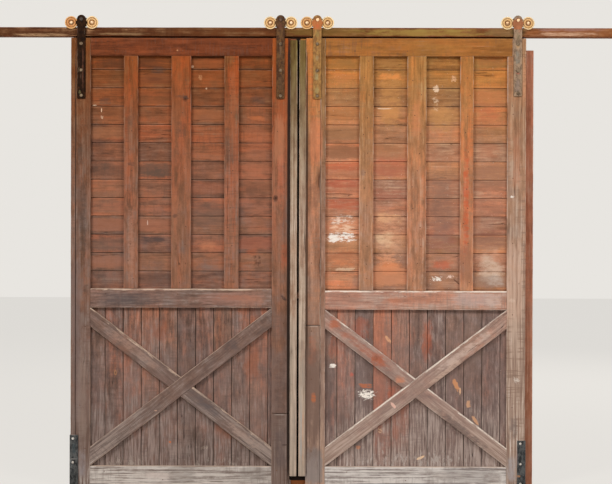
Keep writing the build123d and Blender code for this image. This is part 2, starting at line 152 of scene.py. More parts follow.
class Paint:  # one material, the nodes that make it and the colour laid so far
    def __init__(self, name, colour=None):
        self.material = bpy.data.materials.new(name)
        self.material.use_nodes = True
        self.tree = self.material.node_tree
        self.shader = self.tree.nodes["Principled BSDF"]
        self.place = self.node("ShaderNodeTexCoord", {}, (), "Object")
        self.colour = colour

    def node(self, kind, settings, inputs, output=0):
        made = self.tree.nodes.new(kind)
        for key, value in settings.items():
            setattr(made, key, value)
        pairs = inputs.items() if isinstance(inputs, dict) else enumerate(inputs)
        for key, value in pairs:
            self.feed(made.inputs[key], value)
        return Wire(self, made.outputs[output])

    def feed(self, socket, value):
        if isinstance(value, Wire):
            self.tree.links.new(value.socket, socket)
        else:
            socket.default_value = value

    def attribute(self, name, output="Vector"):
        return self.node("ShaderNodeAttribute", {"attribute_name": name}, (), output)

    def parts(self, vector):
        outputs = self.node("ShaderNodeSeparateXYZ", {}, (vector,)).socket.node.outputs
        return [Wire(self, output) for output in outputs]

    def stretch(self, vector, scale):
        return self.node("ShaderNodeVectorMath", {"operation": "MULTIPLY"}, (vector, scale))

    def noise(self, vector, scale, detail=3.0, roughness=0.55):
        inputs = {"Vector": self.stretch(vector, scale), "Scale": 1.0, "Detail": detail, "Roughness": roughness}
        return self.node("ShaderNodeTexNoise", {}, inputs)

    def ramp(self, value, low, high):  # 0 below low, 1 above high, smooth between
        settings = {"interpolation_type": "SMOOTHSTEP"}
        return self.node("ShaderNodeMapRange", settings, {"Value": value, "From Min": low, "From Max": high})

    def mix(self, mask, under, over, blend="MIX"):
        inputs = {"Factor": mask, 6: under, 7: over}
        return self.node("ShaderNodeMix", {"data_type": "RGBA", "blend_type": blend}, inputs, 2)

    def coat(self, mask, colour, blend="MIX"):
        self.colour = self.mix(mask, self.colour, colour, blend)

    def spot(self, patch):  # a broken patch on the door's front: wide ones squarish, small ones round
        x, y, z = self.parts(self.place)
        across, up = x - patch["at"][0], z - patch["at"][1]
        if patch["turn"]:
            turn = math.radians(patch["turn"])
            along = across * math.cos(turn) + up * math.sin(turn)
            across, up = along, up * math.cos(turn) - across * math.sin(turn)
        across, up = across / patch["size"][0], up / patch["size"][1]
        power = 4.0 if patch["squarish"] else 2.0
        reach = (across.math("POWER", power) + up.math("POWER", power)).math("POWER", 1 / power)
        broken = self.noise(self.place, patch["streaks"], 6.0, 0.78) - 0.5
        inside = self.ramp(reach, 1.3, 0.3) * patch["cover"]
        onFront = self.ramp(y, -0.036, -0.041)
        torn = self.ramp(inside + broken * patch["ragged"], 0.48, 0.62 + patch["soft"])
        return torn * onFront * patch["strength"]

    def layMarks(self, marks):  # a plain row is a stain
        for row in marks:
            patch = row if isinstance(row, dict) else stain(*row)
            self.coat(self.spot(patch), patch["colour"])

    def finish(self, roughness, bump=None, height=0.001, metallic=0.0, gloss=0.5):
        self.feed(self.shader.inputs["Base Color"], self.colour)
        self.feed(self.shader.inputs["Roughness"], roughness)
        self.feed(self.shader.inputs["Metallic"], metallic)
        self.shader.inputs["Specular IOR Level"].default_value = gloss
        if bump is not None:
            inputs = {"Height": bump, "Distance": height, "Strength": 1.0}
            self.feed(self.shader.inputs["Normal"], self.node("ShaderNodeBump", {}, inputs, "Normal"))
        return self.material


# Weathered timber. Its pattern follows each plank's own grain, its tone is the plank's own,
# and what the weather did follows the place on the door.
def weatheredWood(name, look, marks):
    paint = Paint(name)
    noise, ramp, coat = paint.noise, paint.ramp, paint.coat
    grain = paint.attribute("grain")
    fromTop, edge, tone = paint.parts(paint.attribute("plank"))
    bareness = paint.attribute("bareness", "Fac")
    height = paint.parts(paint.place)[2]
    facing = paint.parts(paint.node("ShaderNodeNewGeometry", {}, (), "Normal"))[2]

    # fibres run along the plank, and bend a little round slow waves
    wave = (noise(grain, (2.2, 7.0, 2.0), 2.0) - 0.5) * look["waviness"]
    shift = paint.node("ShaderNodeCombineXYZ", {}, (0.0, wave, 0.0))
    bent = paint.node("ShaderNodeVectorMath", {"operation": "ADD"}, (grain, shift))
    short = look["streaks"]
    fibre = noise(bent, (5.0 * short, 420, 90), 4.0, 0.68)
    lines = noise(bent, (3.2 * short, 120, 26), 4.0, 0.66)
    mottle = noise(bent, (16, 56, 30), 6.0, 0.7)
    cloud = noise(bent, (3.6, 20, 9), 6.0, 0.64)
    redCloud = noise(bent, (3.0, 24, 11), 6.0, 0.66)
    greyCloud = noise(paint.place, (11, 14, 9.5), 5.0, 0.66)
    blotch = noise(paint.place, (25, 25, 20), 5.0, 0.72) - 0.5
    speck = noise(paint.place, (170, 170, 170), 3.0, 0.65)

    # the stain took unevenly, and has darkened, reddened and greyed in clouds
    leaning = (tone - 0.5) * look["toneReach"]
    took = ramp(cloud * 0.6 + mottle * 0.4 + leaning, 0.3, 0.66)
    paint.colour = paint.mix(took, look["dark"], look["middle"])
    coat(ramp(redCloud * 0.65 + mottle * 0.35 + leaning, 0.46, 0.68) * look["redAmount"], look["bright"])
    coat(ramp(noise(grain, (0.6, 0.6, 0.6), 1.0), 0.38, 0.62) * look["ochreAmount"], look["ochre"])
    grey = ramp(greyCloud * 0.4 + cloud * 0.3 + mottle * 0.3 - leaning * 0.6, 0.45, 0.64)
    coat(grey * look["greyAmount"], look["grey"])
    spread = fibre * 0.4 + lines * 0.5 + speck * 0.24 + mottle * 0.28 + cloud * 0.18
    shade = 1.0 + (spread - 0.8) * look["contrast"] + blotch * look["blotches"]
    coat(1.0, paint.node("ShaderNodeCombineXYZ", {}, (shade, shade, shade)), "MULTIPLY")

    # low down the weather has cooled every colour
    coat(ramp(height - (greyCloud - 0.5) * 1.2, -1.0, -1.75) * look["cool"], look["coolColour"])

    # it is gone in streaks along the grain, first where the weather reaches
    low, high = look["weatherHeights"]
    weather = ramp(height, high, low) * look["weather"]
    bareHere = lines * 0.35 + mottle * 0.3 + greyCloud * 0.35 + bareness * 0.3 + weather * 0.25
    bareColour = paint.mix(ramp(fibre * 0.4 + lines * 0.6, 0.41, 0.57), look["bareDark"], look["bare"])
    coat(ramp(bareHere, 0.56, 0.74) * look["bareStrength"], bareColour)
    silverHere = lines * 0.45 + mottle * 0.3 + fibre * 0.25 + bareness * 0.3 + weather * 0.32
    coat(ramp(silverHere, 0.86, 0.98) * 0.85, look["silver"])

    # the saw left faint marks across the grain, and the top is made deeper and warmer
    sawLines, sawPlace = noise(grain, (105, 9, 4), 2.0), noise(grain, (2.2, 12, 4), 3.0)
    coat(ramp(sawLines, 0.5, 0.62) * ramp(sawPlace, 0.44, 0.6) * look["sawMarks"], look["bareDark"])
    coat(ramp(height, look["deepenEnd"], -0.02) * look["deepen"], look["deepenColour"], "MULTIPLY")

    # knots and drying splits
    inputs = {"Vector": paint.stretch(bent, (2.6, 12.0, 1.0)), "Scale": 1.0}
    settings = {"feature": "F1", "voronoi_dimensions": "3D"}
    knotReach = paint.node("ShaderNodeTexVoronoi", settings, inputs, "Distance")
    pick = paint.parts(paint.node("ShaderNodeTexVoronoi", settings, inputs, "Color"))[0]
    chosen = ramp(pick, look["knots"], look["knots"] + 0.02)
    knotRing = knotReach + (mottle - 0.5) * 0.06
    knot = ramp(knotRing, 0.13, 0.07) * chosen
    coat(ramp(knotRing, 0.32, 0.1) * chosen * 0.4, look["knot"])
    coat(knot * 0.75, look["knot"])
    splitLine = (noise(bent, (1.2, 34, 9), 2.0, 0.5) - 0.5).size()
    split = ramp(splitLine, 0.005, 0.001) * ramp(noise(grain, (2.4, 9, 3), 2.0), 0.54, 0.64)
    coat(split * 0.75, look["split"])
    if "corners" in look:  # how far it lies from the timber over it: painted shade in the corners by the timbers, and a painted shadow line along their edges
        tucked = paint.attribute("tucked", "Fac") + (mottle - 0.5) * 0.008
        coat(ramp(tucked, 0.015, -0.002) * look["corners"], look["cornerShadeColour"], "MULTIPLY")
        coat(ramp(tucked, 0.0075, 0.002) * look["shadowLines"], look["dirtAndShadowColour"])

    # dirt lies in the joints and the arrises are rubbed pale; the upper arrises are paler still, worn and with
    # a painted highlight, and faces turned up get a painted highlight
    lipEnd, jointDepth = look["lip"]
    lip = ramp(edge, lipEnd, lipEnd * 0.4)
    if jointDepth:
        dirt = ramp(edge, jointDepth, jointDepth * 0.3)
        lying = ramp(noise(grain, (7, 20, 20), 4.0, 0.7), 0.36, 0.6)
        coat(dirt * (0.3 + lying * 0.55) * look["grime"], look["dirtAndShadowColour"])
        lip = (lip - dirt).held()
    worn = ramp(noise(grain, (13, 60, 30), 4.0, 0.7), 0.42, 0.6)
    coat(lip * worn * look["rubbed"], look["rubbedAndLitColour"])
    topWidth = look["topLip"]
    topLine = ramp(fromTop + (mottle - 0.5) * topWidth * 1.6, topWidth, topWidth * 0.55)
    topWorn = ramp(noise(grain, (8, 30, 30), 5.0, 0.75) + bareness * 0.2, 0.5, 0.62)
    coat(topLine * topWorn * look["rubbedAndLitTop"], look["rubbedAndLitColour"])
    # a painted highlight on faces turned up, in the rubbed colour
    coat(ramp(facing, 0.3, 0.75) * look["dusty"], look["rubbedAndLitColour"])
    paint.layMarks(marks)

    bump = fibre * 0.5 + lines * 0.5 + mottle * 0.25 - split * 1.2 - knot * 0.2
    return paint.finish(0.7 + (fibre * 0.2).held(), bump, look["relief"], gloss=look["gloss"])


def selectOnly(*pieces):  # the first is made active
    bpy.ops.object.select_all(action="DESELECT")
    for piece in pieces:
        piece.select_set(True)
    if pieces:
        bpy.context.view_layer.objects.active = pieces[0]


def selectEdges(piece, test):
    mesh = bmesh.from_edit_mesh(piece.data)
    for part in (*mesh.verts, *mesh.faces):
        part.select = False
    for edge in mesh.edges:
        edge.select_set(bool(test(edge.verts[0].co, edge.verts[1].co)))
    bmesh.update_edit_mesh(piece.data)


def applyAll(piece):
    bpy.context.view_layer.objects.active = piece
    for modifier in list(piece.modifiers):
        bpy.ops.object.modifier_apply(modifier=modifier.name)


def readPlaces(piece):  # every point of the mesh, one row each
    places = np.zeros(len(piece.data.vertices) * 3)
    piece.data.vertices.foreach_get("co", places)
    return places.reshape(-1, 3)


def keepOnPoints(piece, name, values):  # a number or a vector for every point
    kind, field = ("FLOAT_VECTOR", "vector") if values.ndim > 1 else ("FLOAT", "value")
    data = piece.data.attributes.new(name, kind, "POINT").data
    data.foreach_set(field, values.astype(np.float32).ravel())


plankShape = {
    "spacing": (0.0075, 0.0055),  # between the surface's points, along and across
    "arris": 0.0022,
    "chipReach": 1.6,  # how many arrises wide the chipped edge is
    "grainDrift": 40,
    "wearDrift": 9,
}
plankWear = {  # a cloud's size and detail, its stretch along, through and across, and how deep it goes
    "warp": {"cloud": (0.9, 1), "stretch": (0.42, 0.1, 0.1), "depth": 0.001, "direction": "Y"},
    "ridges": {"cloud": (0.9, 3), "stretch": (0.16, 0.02, 0.011), "depth": 0.0004, "direction": "NORMAL"},
    "chips": {"cloud": (0.6, 2), "stretch": (0.03, 0.01, 0.012), "depth": 0.0014, "direction": "NORMAL",
              "middle": 0.72, "group": "arrises"},
}
for name, how in plankWear.items():
    how["guide"] = link(bpy.data.objects.new(name + "Guide", None))
    how["guide"].scale = how["stretch"]
    how["texture"] = bpy.data.textures.new(name, "CLOUDS")
    how["texture"].noise_scale, how["texture"].noise_depth = how["cloud"]


def wearPlank(plank, amount):
    for how in plankWear.values():
        modifier = plank.modifiers.new("displace", "DISPLACE")
        modifier.texture, modifier.strength = how["texture"], how["depth"] * amount
        modifier.texture_coords, modifier.texture_coords_object = "OBJECT", how["guide"]
        modifier.direction, modifier.mid_level = how["direction"], how.get("middle", 0.5)
        modifier.vertex_group = how.get("group", "")
    applyAll(plank)


# A plank is sawn along X, with its face towards -Y, then worn, then laid in its place.
# Every point keeps where it lies in the grain and on the plank.
def makePlank(length, width, depth, seed, tone, bareness, arris=plankShape["arris"], wear=1.0, topWorn=0):
    draw = random.Random(seed)
    along, across = plankShape["spacing"]
    selectOnly()
    bpy.ops.mesh.primitive_cube_add(size=1, location=(0, 0, 0))
    plank = bpy.context.object
    plank.scale = (length, depth, width)
    bpy.ops.object.transform_apply(location=False, rotation=False, scale=True)
    bpy.ops.object.mode_set(mode="EDIT")
    bpy.ops.mesh.select_mode(type="EDGE")
    bpy.ops.mesh.select_all(action="SELECT")
    bpy.ops.mesh.bevel(offset=arris, segments=2, affect="EDGES")
    selectEdges(plank, lambda a, b: abs(a.x - b.x) > length / 2)
    bpy.ops.mesh.subdivide(number_cuts=max(2, int(length / along)))
    front = -depth / 2 + arris / 2
    selectEdges(plank, lambda a, b: abs(a.z - b.z) > width / 2 and a.y < front and b.y < front)
    bpy.ops.mesh.subdivide(number_cuts=max(2, int(width / across)))
    bpy.ops.object.mode_set(mode="OBJECT")

    places = readPlaces(plank)
    x, y, z = places.T
    drift = plankShape["grainDrift"]
    keepOnPoints(plank, "grain", places[:, [0, 2, 1]] + np.array([draw.uniform(0, drift) for _ in range(3)]))
    startTone, endTone = tone if isinstance(tone, tuple) else (tone, tone)
    tones = startTone + (x / length + 0.5) * (endTone - startTone)
    fromTop = (width / 2 - z) / topWorn if topWorn else np.ones(len(places))
    keepOnPoints(plank, "plank", np.stack([fromTop, width / 2 - np.abs(z), tones], 1))
    keepOnPoints(plank, "bareness", np.full(len(places), bareness))
    nearEdge = (np.abs(z) > width / 2 - plankShape["chipReach"] * arris) & (y < 0)
    plank.vertex_groups.new(name="arrises").add(np.nonzero(nearEdge)[0].tolist(), 1.0, "REPLACE")
    for how in plankWear.values():
        drift = plankShape["wearDrift"]
        how["guide"].location = [draw.uniform(-drift, drift) for _ in range(3)]
    bpy.context.view_layer.update()
    wearPlank(plank, wear)
    return plank


def layPlank(plank, centre, slope):  # slope in radians: 0 is level, a quarter turn is upright
    plank.location, plank.rotation_euler = centre, (0, -slope, 0)
    selectOnly(plank)
    bpy.ops.object.transform_apply(location=True, rotation=True, scale=True)
    return plank


def plankBetween(low, high, seed, upright, **how):  # fills the box between two corners
    size = Vector(high) - Vector(low)
    centre = (Vector(low) + Vector(high)) / 2
    if upright:
        return layPlank(makePlank(size.z, size.x, size.y, seed, **how), centre, math.pi / 2)
    return layPlank(makePlank(size.x, size.z, size.y, seed, **how), centre, 0)


def cutAt(piece, point, normal):  # saws off what lies on the normal's side and closes the cut
    selectOnly(piece)
    bpy.ops.object.mode_set(mode="EDIT")
    bpy.ops.mesh.select_all(action="SELECT")
    bpy.ops.mesh.bisect(plane_co=point, plane_no=normal, use_fill=True, clear_outer=True)
    bpy.ops.object.mode_set(mode="OBJECT")


def joinPieces(name, pieces):
    selectOnly(*pieces)
    if len(pieces) > 1:
        bpy.ops.object.join()
    joined = bpy.context.view_layer.objects.active
    joined.name = joined.data.name = name
    return joined


def paintPiece(piece, material):
    piece.data.materials.clear()
    piece.data.materials.append(material)


def finishPiece(name, pieces, material, body, nodes, angle=35):
    piece = joinPieces(name, pieces)
    bpy.ops.object.transform_apply(location=True, rotation=True, scale=True)
    bpy.ops.object.shade_smooth_by_angle(angle=math.radians(angle))
    if material:
        paintPiece(piece, material)
    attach(piece, body)
    if nodes:
        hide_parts(*nodes)
    return piece


def leafOf(node):
    return node.split("_")[0] + "_leaf"


def finishTimber(node, planks, finish):
    return finishPiece(node + "Timber", planks, wood[finish], leafOf(node), [node])


baseWood = {
    "waviness": 0.012, "streaks": 1.0, "blotches": 0.45, "contrast": 1.5, "relief": 0.0009, "gloss": 0.15,
    "toneReach": 0.3, "redAmount": 0.75, "greyAmount": 0.6, "ochreAmount": 0.3, "sawMarks": 0.3, "knots": 0.93,
    "dark": (92, 60, 46), "middle": (150, 97, 71), "bright": (184, 100, 64), "grey": (108, 86, 76),
    "ochre": (134, 94, 62), "knot": (58, 36, 27), "split": (40, 26, 20),
    "cool": 0.65, "coolColour": (124, 104, 98),
    "bare": (150, 124, 110), "bareDark": (100, 78, 68), "bareStrength": 0.85, "silver": (196, 186, 178),
    "weather": 0.0, "weatherHeights": (-2.08, -1.55),  # lowest and highest
    "deepen": 1.0, "deepenColour": (240, 190, 118), "deepenEnd": -0.95,
    "lip": (0.0032, 0),  # widths of the rubbed arris and of the dirty joint
    "topLip": 0.006, "rubbed": 0.5, "rubbedAndLitTop": 0.0, "dusty": 0.6, "rubbedAndLitColour": (214, 188, 168),
    "grime": 1.0, "dirtAndShadowColour": (44, 28, 20),
}
baseBoards = {
    "lip": (0.006, 0.003), "grime": 0.7, "rubbed": 0.14, "knots": 0.95, "toneReach": 0.18, "dusty": 0.0,
    # the corner amount and colour paint shade in the corners by the timbers, and the amount after them a
    # painted shadow line along their edges
    "corners": 0.9, "cornerShadeColour": (128, 108, 98), "shadowLines": 0.5,
}
lowerBoards = {
    **baseBoards, "grime": 0.85, "shadowLines": 0.85, "streaks": 2.6, "toneReach": 0.4, "redAmount": 0.9,
}
peeled, cream, rawWood, orange = (246, 238, 230), (234, 204, 174), (222, 176, 138), (200, 112, 66)
# The first of these is painted shade: a near black laid in the meeting gap, in a narrow joint and under the
# meeting strips' ends, where there is only shade
gapShade, soot, redStain = (14, 8, 5), (80, 64, 56), (170, 88, 60)
# Each right-leaf look is brighter than its left twin: painted light on the right leaf and painted shade on the
# left, over each leaf's own tones
woodLooks = {
    "leftFrameWood": {
        "dark": (98, 70, 58), "middle": (156, 107, 85), "bright": (184, 107, 77), "grey": (112, 93, 86),
        "bare": (140, 122, 114), "silver": (204, 196, 190), "weather": 0.8, "topLip": 0.0045, "rubbed": 0.35,
        "rubbedAndLitTop": 0.75, "rubbedAndLitColour": (198, 164, 142),
    },
    "rightFrameWood": {
        "sawMarks": 0.5, "dark": (134, 96, 76), "middle": (200, 140, 106), "bright": (216, 126, 86),
        "grey": (156, 126, 112), "ochre": (182, 138, 100), "knot": (92, 58, 42), "coolColour": (156, 134, 124),
        "bare": (200, 168, 148), "bareDark": (152, 120, 102), "silver": (222, 214, 208), "weather": 0.75,
        "deepenColour": (240, 231, 168), "topLip": 0.005, "rubbed": 0.4, "rubbedAndLitTop": 0.85,
        "rubbedAndLitColour": (236, 218, 204),
    },
    "rightEdgeStileWood": {
        "redAmount": 0.5, "sawMarks": 0.7, "dark": (134, 104, 88), "middle": (190, 148, 124),
        "bright": (208, 136, 100), "grey": (154, 130, 118), "ochre": (186, 146, 114), "knot": (92, 58, 42),
        "cool": 0.6, "coolColour": (140, 121, 114), "bare": (197, 173, 157), "bareDark": (139, 113, 99),
        "silver": (222, 212, 204), "weather": 0.7, "weatherHeights": (-1.9, -0.7),
        "deepenColour": (238, 214, 182), "rubbedAndLitColour": (230, 212, 198),
    },
    "leftLowWood": {
        "streaks": 1.8, "blotches": 0.9, "contrast": 2.4, "redAmount": 0.5, "ochreAmount": 0.15,
        "dark": (98, 78, 70), "middle": (144, 112, 100), "bright": (160, 104, 80), "grey": (116, 100, 96),
        "cool": 0.45, "bare": (160, 144, 136), "bareDark": (92, 78, 74), "silver": (222, 214, 208),
        "weather": 0.85, "topLip": 0.0085, "rubbedAndLitTop": 0.85,
    },
    "rightLowWood": {
        "streaks": 1.8, "blotches": 0.8, "contrast": 2.4, "redAmount": 0.55, "ochreAmount": 0.2,
        "sawMarks": 0.4, "dark": (138, 108, 98), "middle": (188, 144, 126), "bright": (204, 128, 100),
        "grey": (152, 130, 122), "ochre": (176, 140, 112), "knot": (92, 58, 42), "cool": 0.45,
        "coolColour": (160, 140, 134), "bare": (190, 168, 156), "bareDark": (148, 124, 112),
        "silver": (228, 220, 214), "weather": 0.85, "topLip": 0.008, "rubbedAndLitTop": 0.95,
        "rubbedAndLitColour": (240, 228, 216),
    },
    "leftBottomRailWood": {
        "contrast": 1.6, "redAmount": 0.4, "ochreAmount": 0.1, "dark": (120, 104, 98),
        "middle": (156, 140, 132), "bright": (166, 142, 130), "grey": (138, 128, 124), "ochre": (168, 150, 134),
        "knot": (92, 76, 68), "cool": 0.0, "bare": (176, 164, 156), "bareDark": (126, 112, 106),
        "silver": (216, 208, 202), "weather": 0.9,
    },
    "rightBottomRailWood": {
        "contrast": 2.0, "redAmount": 0.4, "ochreAmount": 0.1, "dark": (128, 114, 110),
        "middle": (168, 154, 148), "bright": (176, 154, 146), "grey": (148, 140, 138), "ochre": (176, 160, 148),
        "knot": (104, 88, 80), "cool": 0.0, "bare": (190, 180, 176), "bareDark": (132, 120, 116),
        "silver": (226, 220, 216), "weather": 0.9,
    },
    # the left top rail is darker and redder than the right one: painted shade under the eaves
    "leftTopRailWood": {
        "blotches": 0.9, "contrast": 2.1, "greyAmount": 0.4, "dark": (84, 36, 18), "middle": (125, 59, 31),
        "bright": (154, 72, 36), "grey": (88, 52, 34), "ochre": (120, 70, 36), "deepen": 0.0, "rubbed": 0.3,
        "rubbedAndLitColour": (150, 92, 62),
    },
    "rightTopRailWood": {
        "greyAmount": 0.3, "dark": (133, 81, 40), "middle": (172, 114, 55), "bright": (190, 108, 49),
        "grey": (144, 105, 57), "ochre": (146, 102, 52), "knot": (92, 58, 42), "deepen": 0.0, "rubbed": 0.3,
        "rubbedAndLitColour": (204, 158, 108),
    },
    "leftUpperBoardWood": {
        **baseBoards, "dark": (96, 69, 60), "middle": (152, 105, 83), "bright": (181, 107, 77),
        "grey": (104, 89, 86), "ochre": (148, 105, 77), "grime": 0.58,
    },
    "rightUpperBoardWood": {
        **baseBoards, "ochreAmount": 0.35, "dark": (144, 100, 80), "middle": (206, 144, 110),
        "bright": (219, 128, 90), "grey": (152, 121, 108), "ochre": (198, 146, 98), "knot": (98, 60, 42),
        "bare": (212, 174, 144), "bareDark": (166, 128, 102), "silver": (222, 206, 192),
        "deepenColour": (238, 226, 148), "deepenEnd": -0.72, "rubbedAndLitColour": (230, 192, 160), "grime": 0.55,
        "dirtAndShadowColour": (70, 44, 32),
    },
    "leftLowerBoardWood": {
        **lowerBoards, "blotches": 1.3, "contrast": 2.8, "dark": (86, 64, 56), "middle": (140, 103, 89),
        "bright": (170, 103, 76), "grey": (108, 96, 94), "ochre": (138, 108, 88), "cool": 0.35,
        "coolColour": (132, 118, 116), "bare": (152, 136, 130), "bareDark": (98, 82, 76), "weather": 0.75,
    },
    "rightLowerBoardWood": {
        **lowerBoards, "blotches": 1.0, "contrast": 2.4, "dark": (112, 88, 80), "middle": (164, 126, 112),
        "bright": (188, 112, 84), "grey": (136, 120, 116), "ochre": (160, 128, 108), "cool": 0.45,
        "coolColour": (122, 108, 107), "bare": (182, 164, 156), "bareDark": (122, 104, 98),
        "silver": (214, 206, 202), "weather": 0.95,
    },
    "meetingStripWood": {
        "redAmount": 0.35, "greyAmount": 0.4, "knots": 0.99, "dark": (146, 119, 102), "middle": (188, 154, 133),
        "bright": (202, 155, 130), "grey": (168, 152, 136), "knot": (120, 98, 80), "cool": 0.6,
        "coolColour": (176, 168, 158), "bare": (204, 184, 166), "bareDark": (164, 142, 124),
        "silver": (214, 204, 192), "deepenColour": (160, 157, 102), "rubbed": 0.7,
    },
    "railTimber": {
        "toneReach": 0.6, "greyAmount": 0.35, "dark": (68, 30, 11), "middle": (104, 54, 22),
        "bright": (160, 100, 62), "grey": (92, 62, 34), "ochre": (124, 76, 38), "bare": (172, 130, 94),
        "bareDark": (108, 72, 46), "silver": (190, 156, 120), "deepen": 0.0, "rubbed": 0.7,
        "rubbedAndLitColour": (128, 70, 44),
    },
    "casingWood": {
        "redAmount": 0.5, "greyAmount": 0.3, "dark": (146, 88, 64), "middle": (192, 126, 98),
        "bright": (208, 122, 88), "grey": (160, 118, 100), "cool": 0.2, "coolColour": (150, 112, 100),
        "bare": (190, 152, 132), "bareDark": (146, 106, 88), "deepen": 0.0,
    },
    "sawnTimber": {},
}
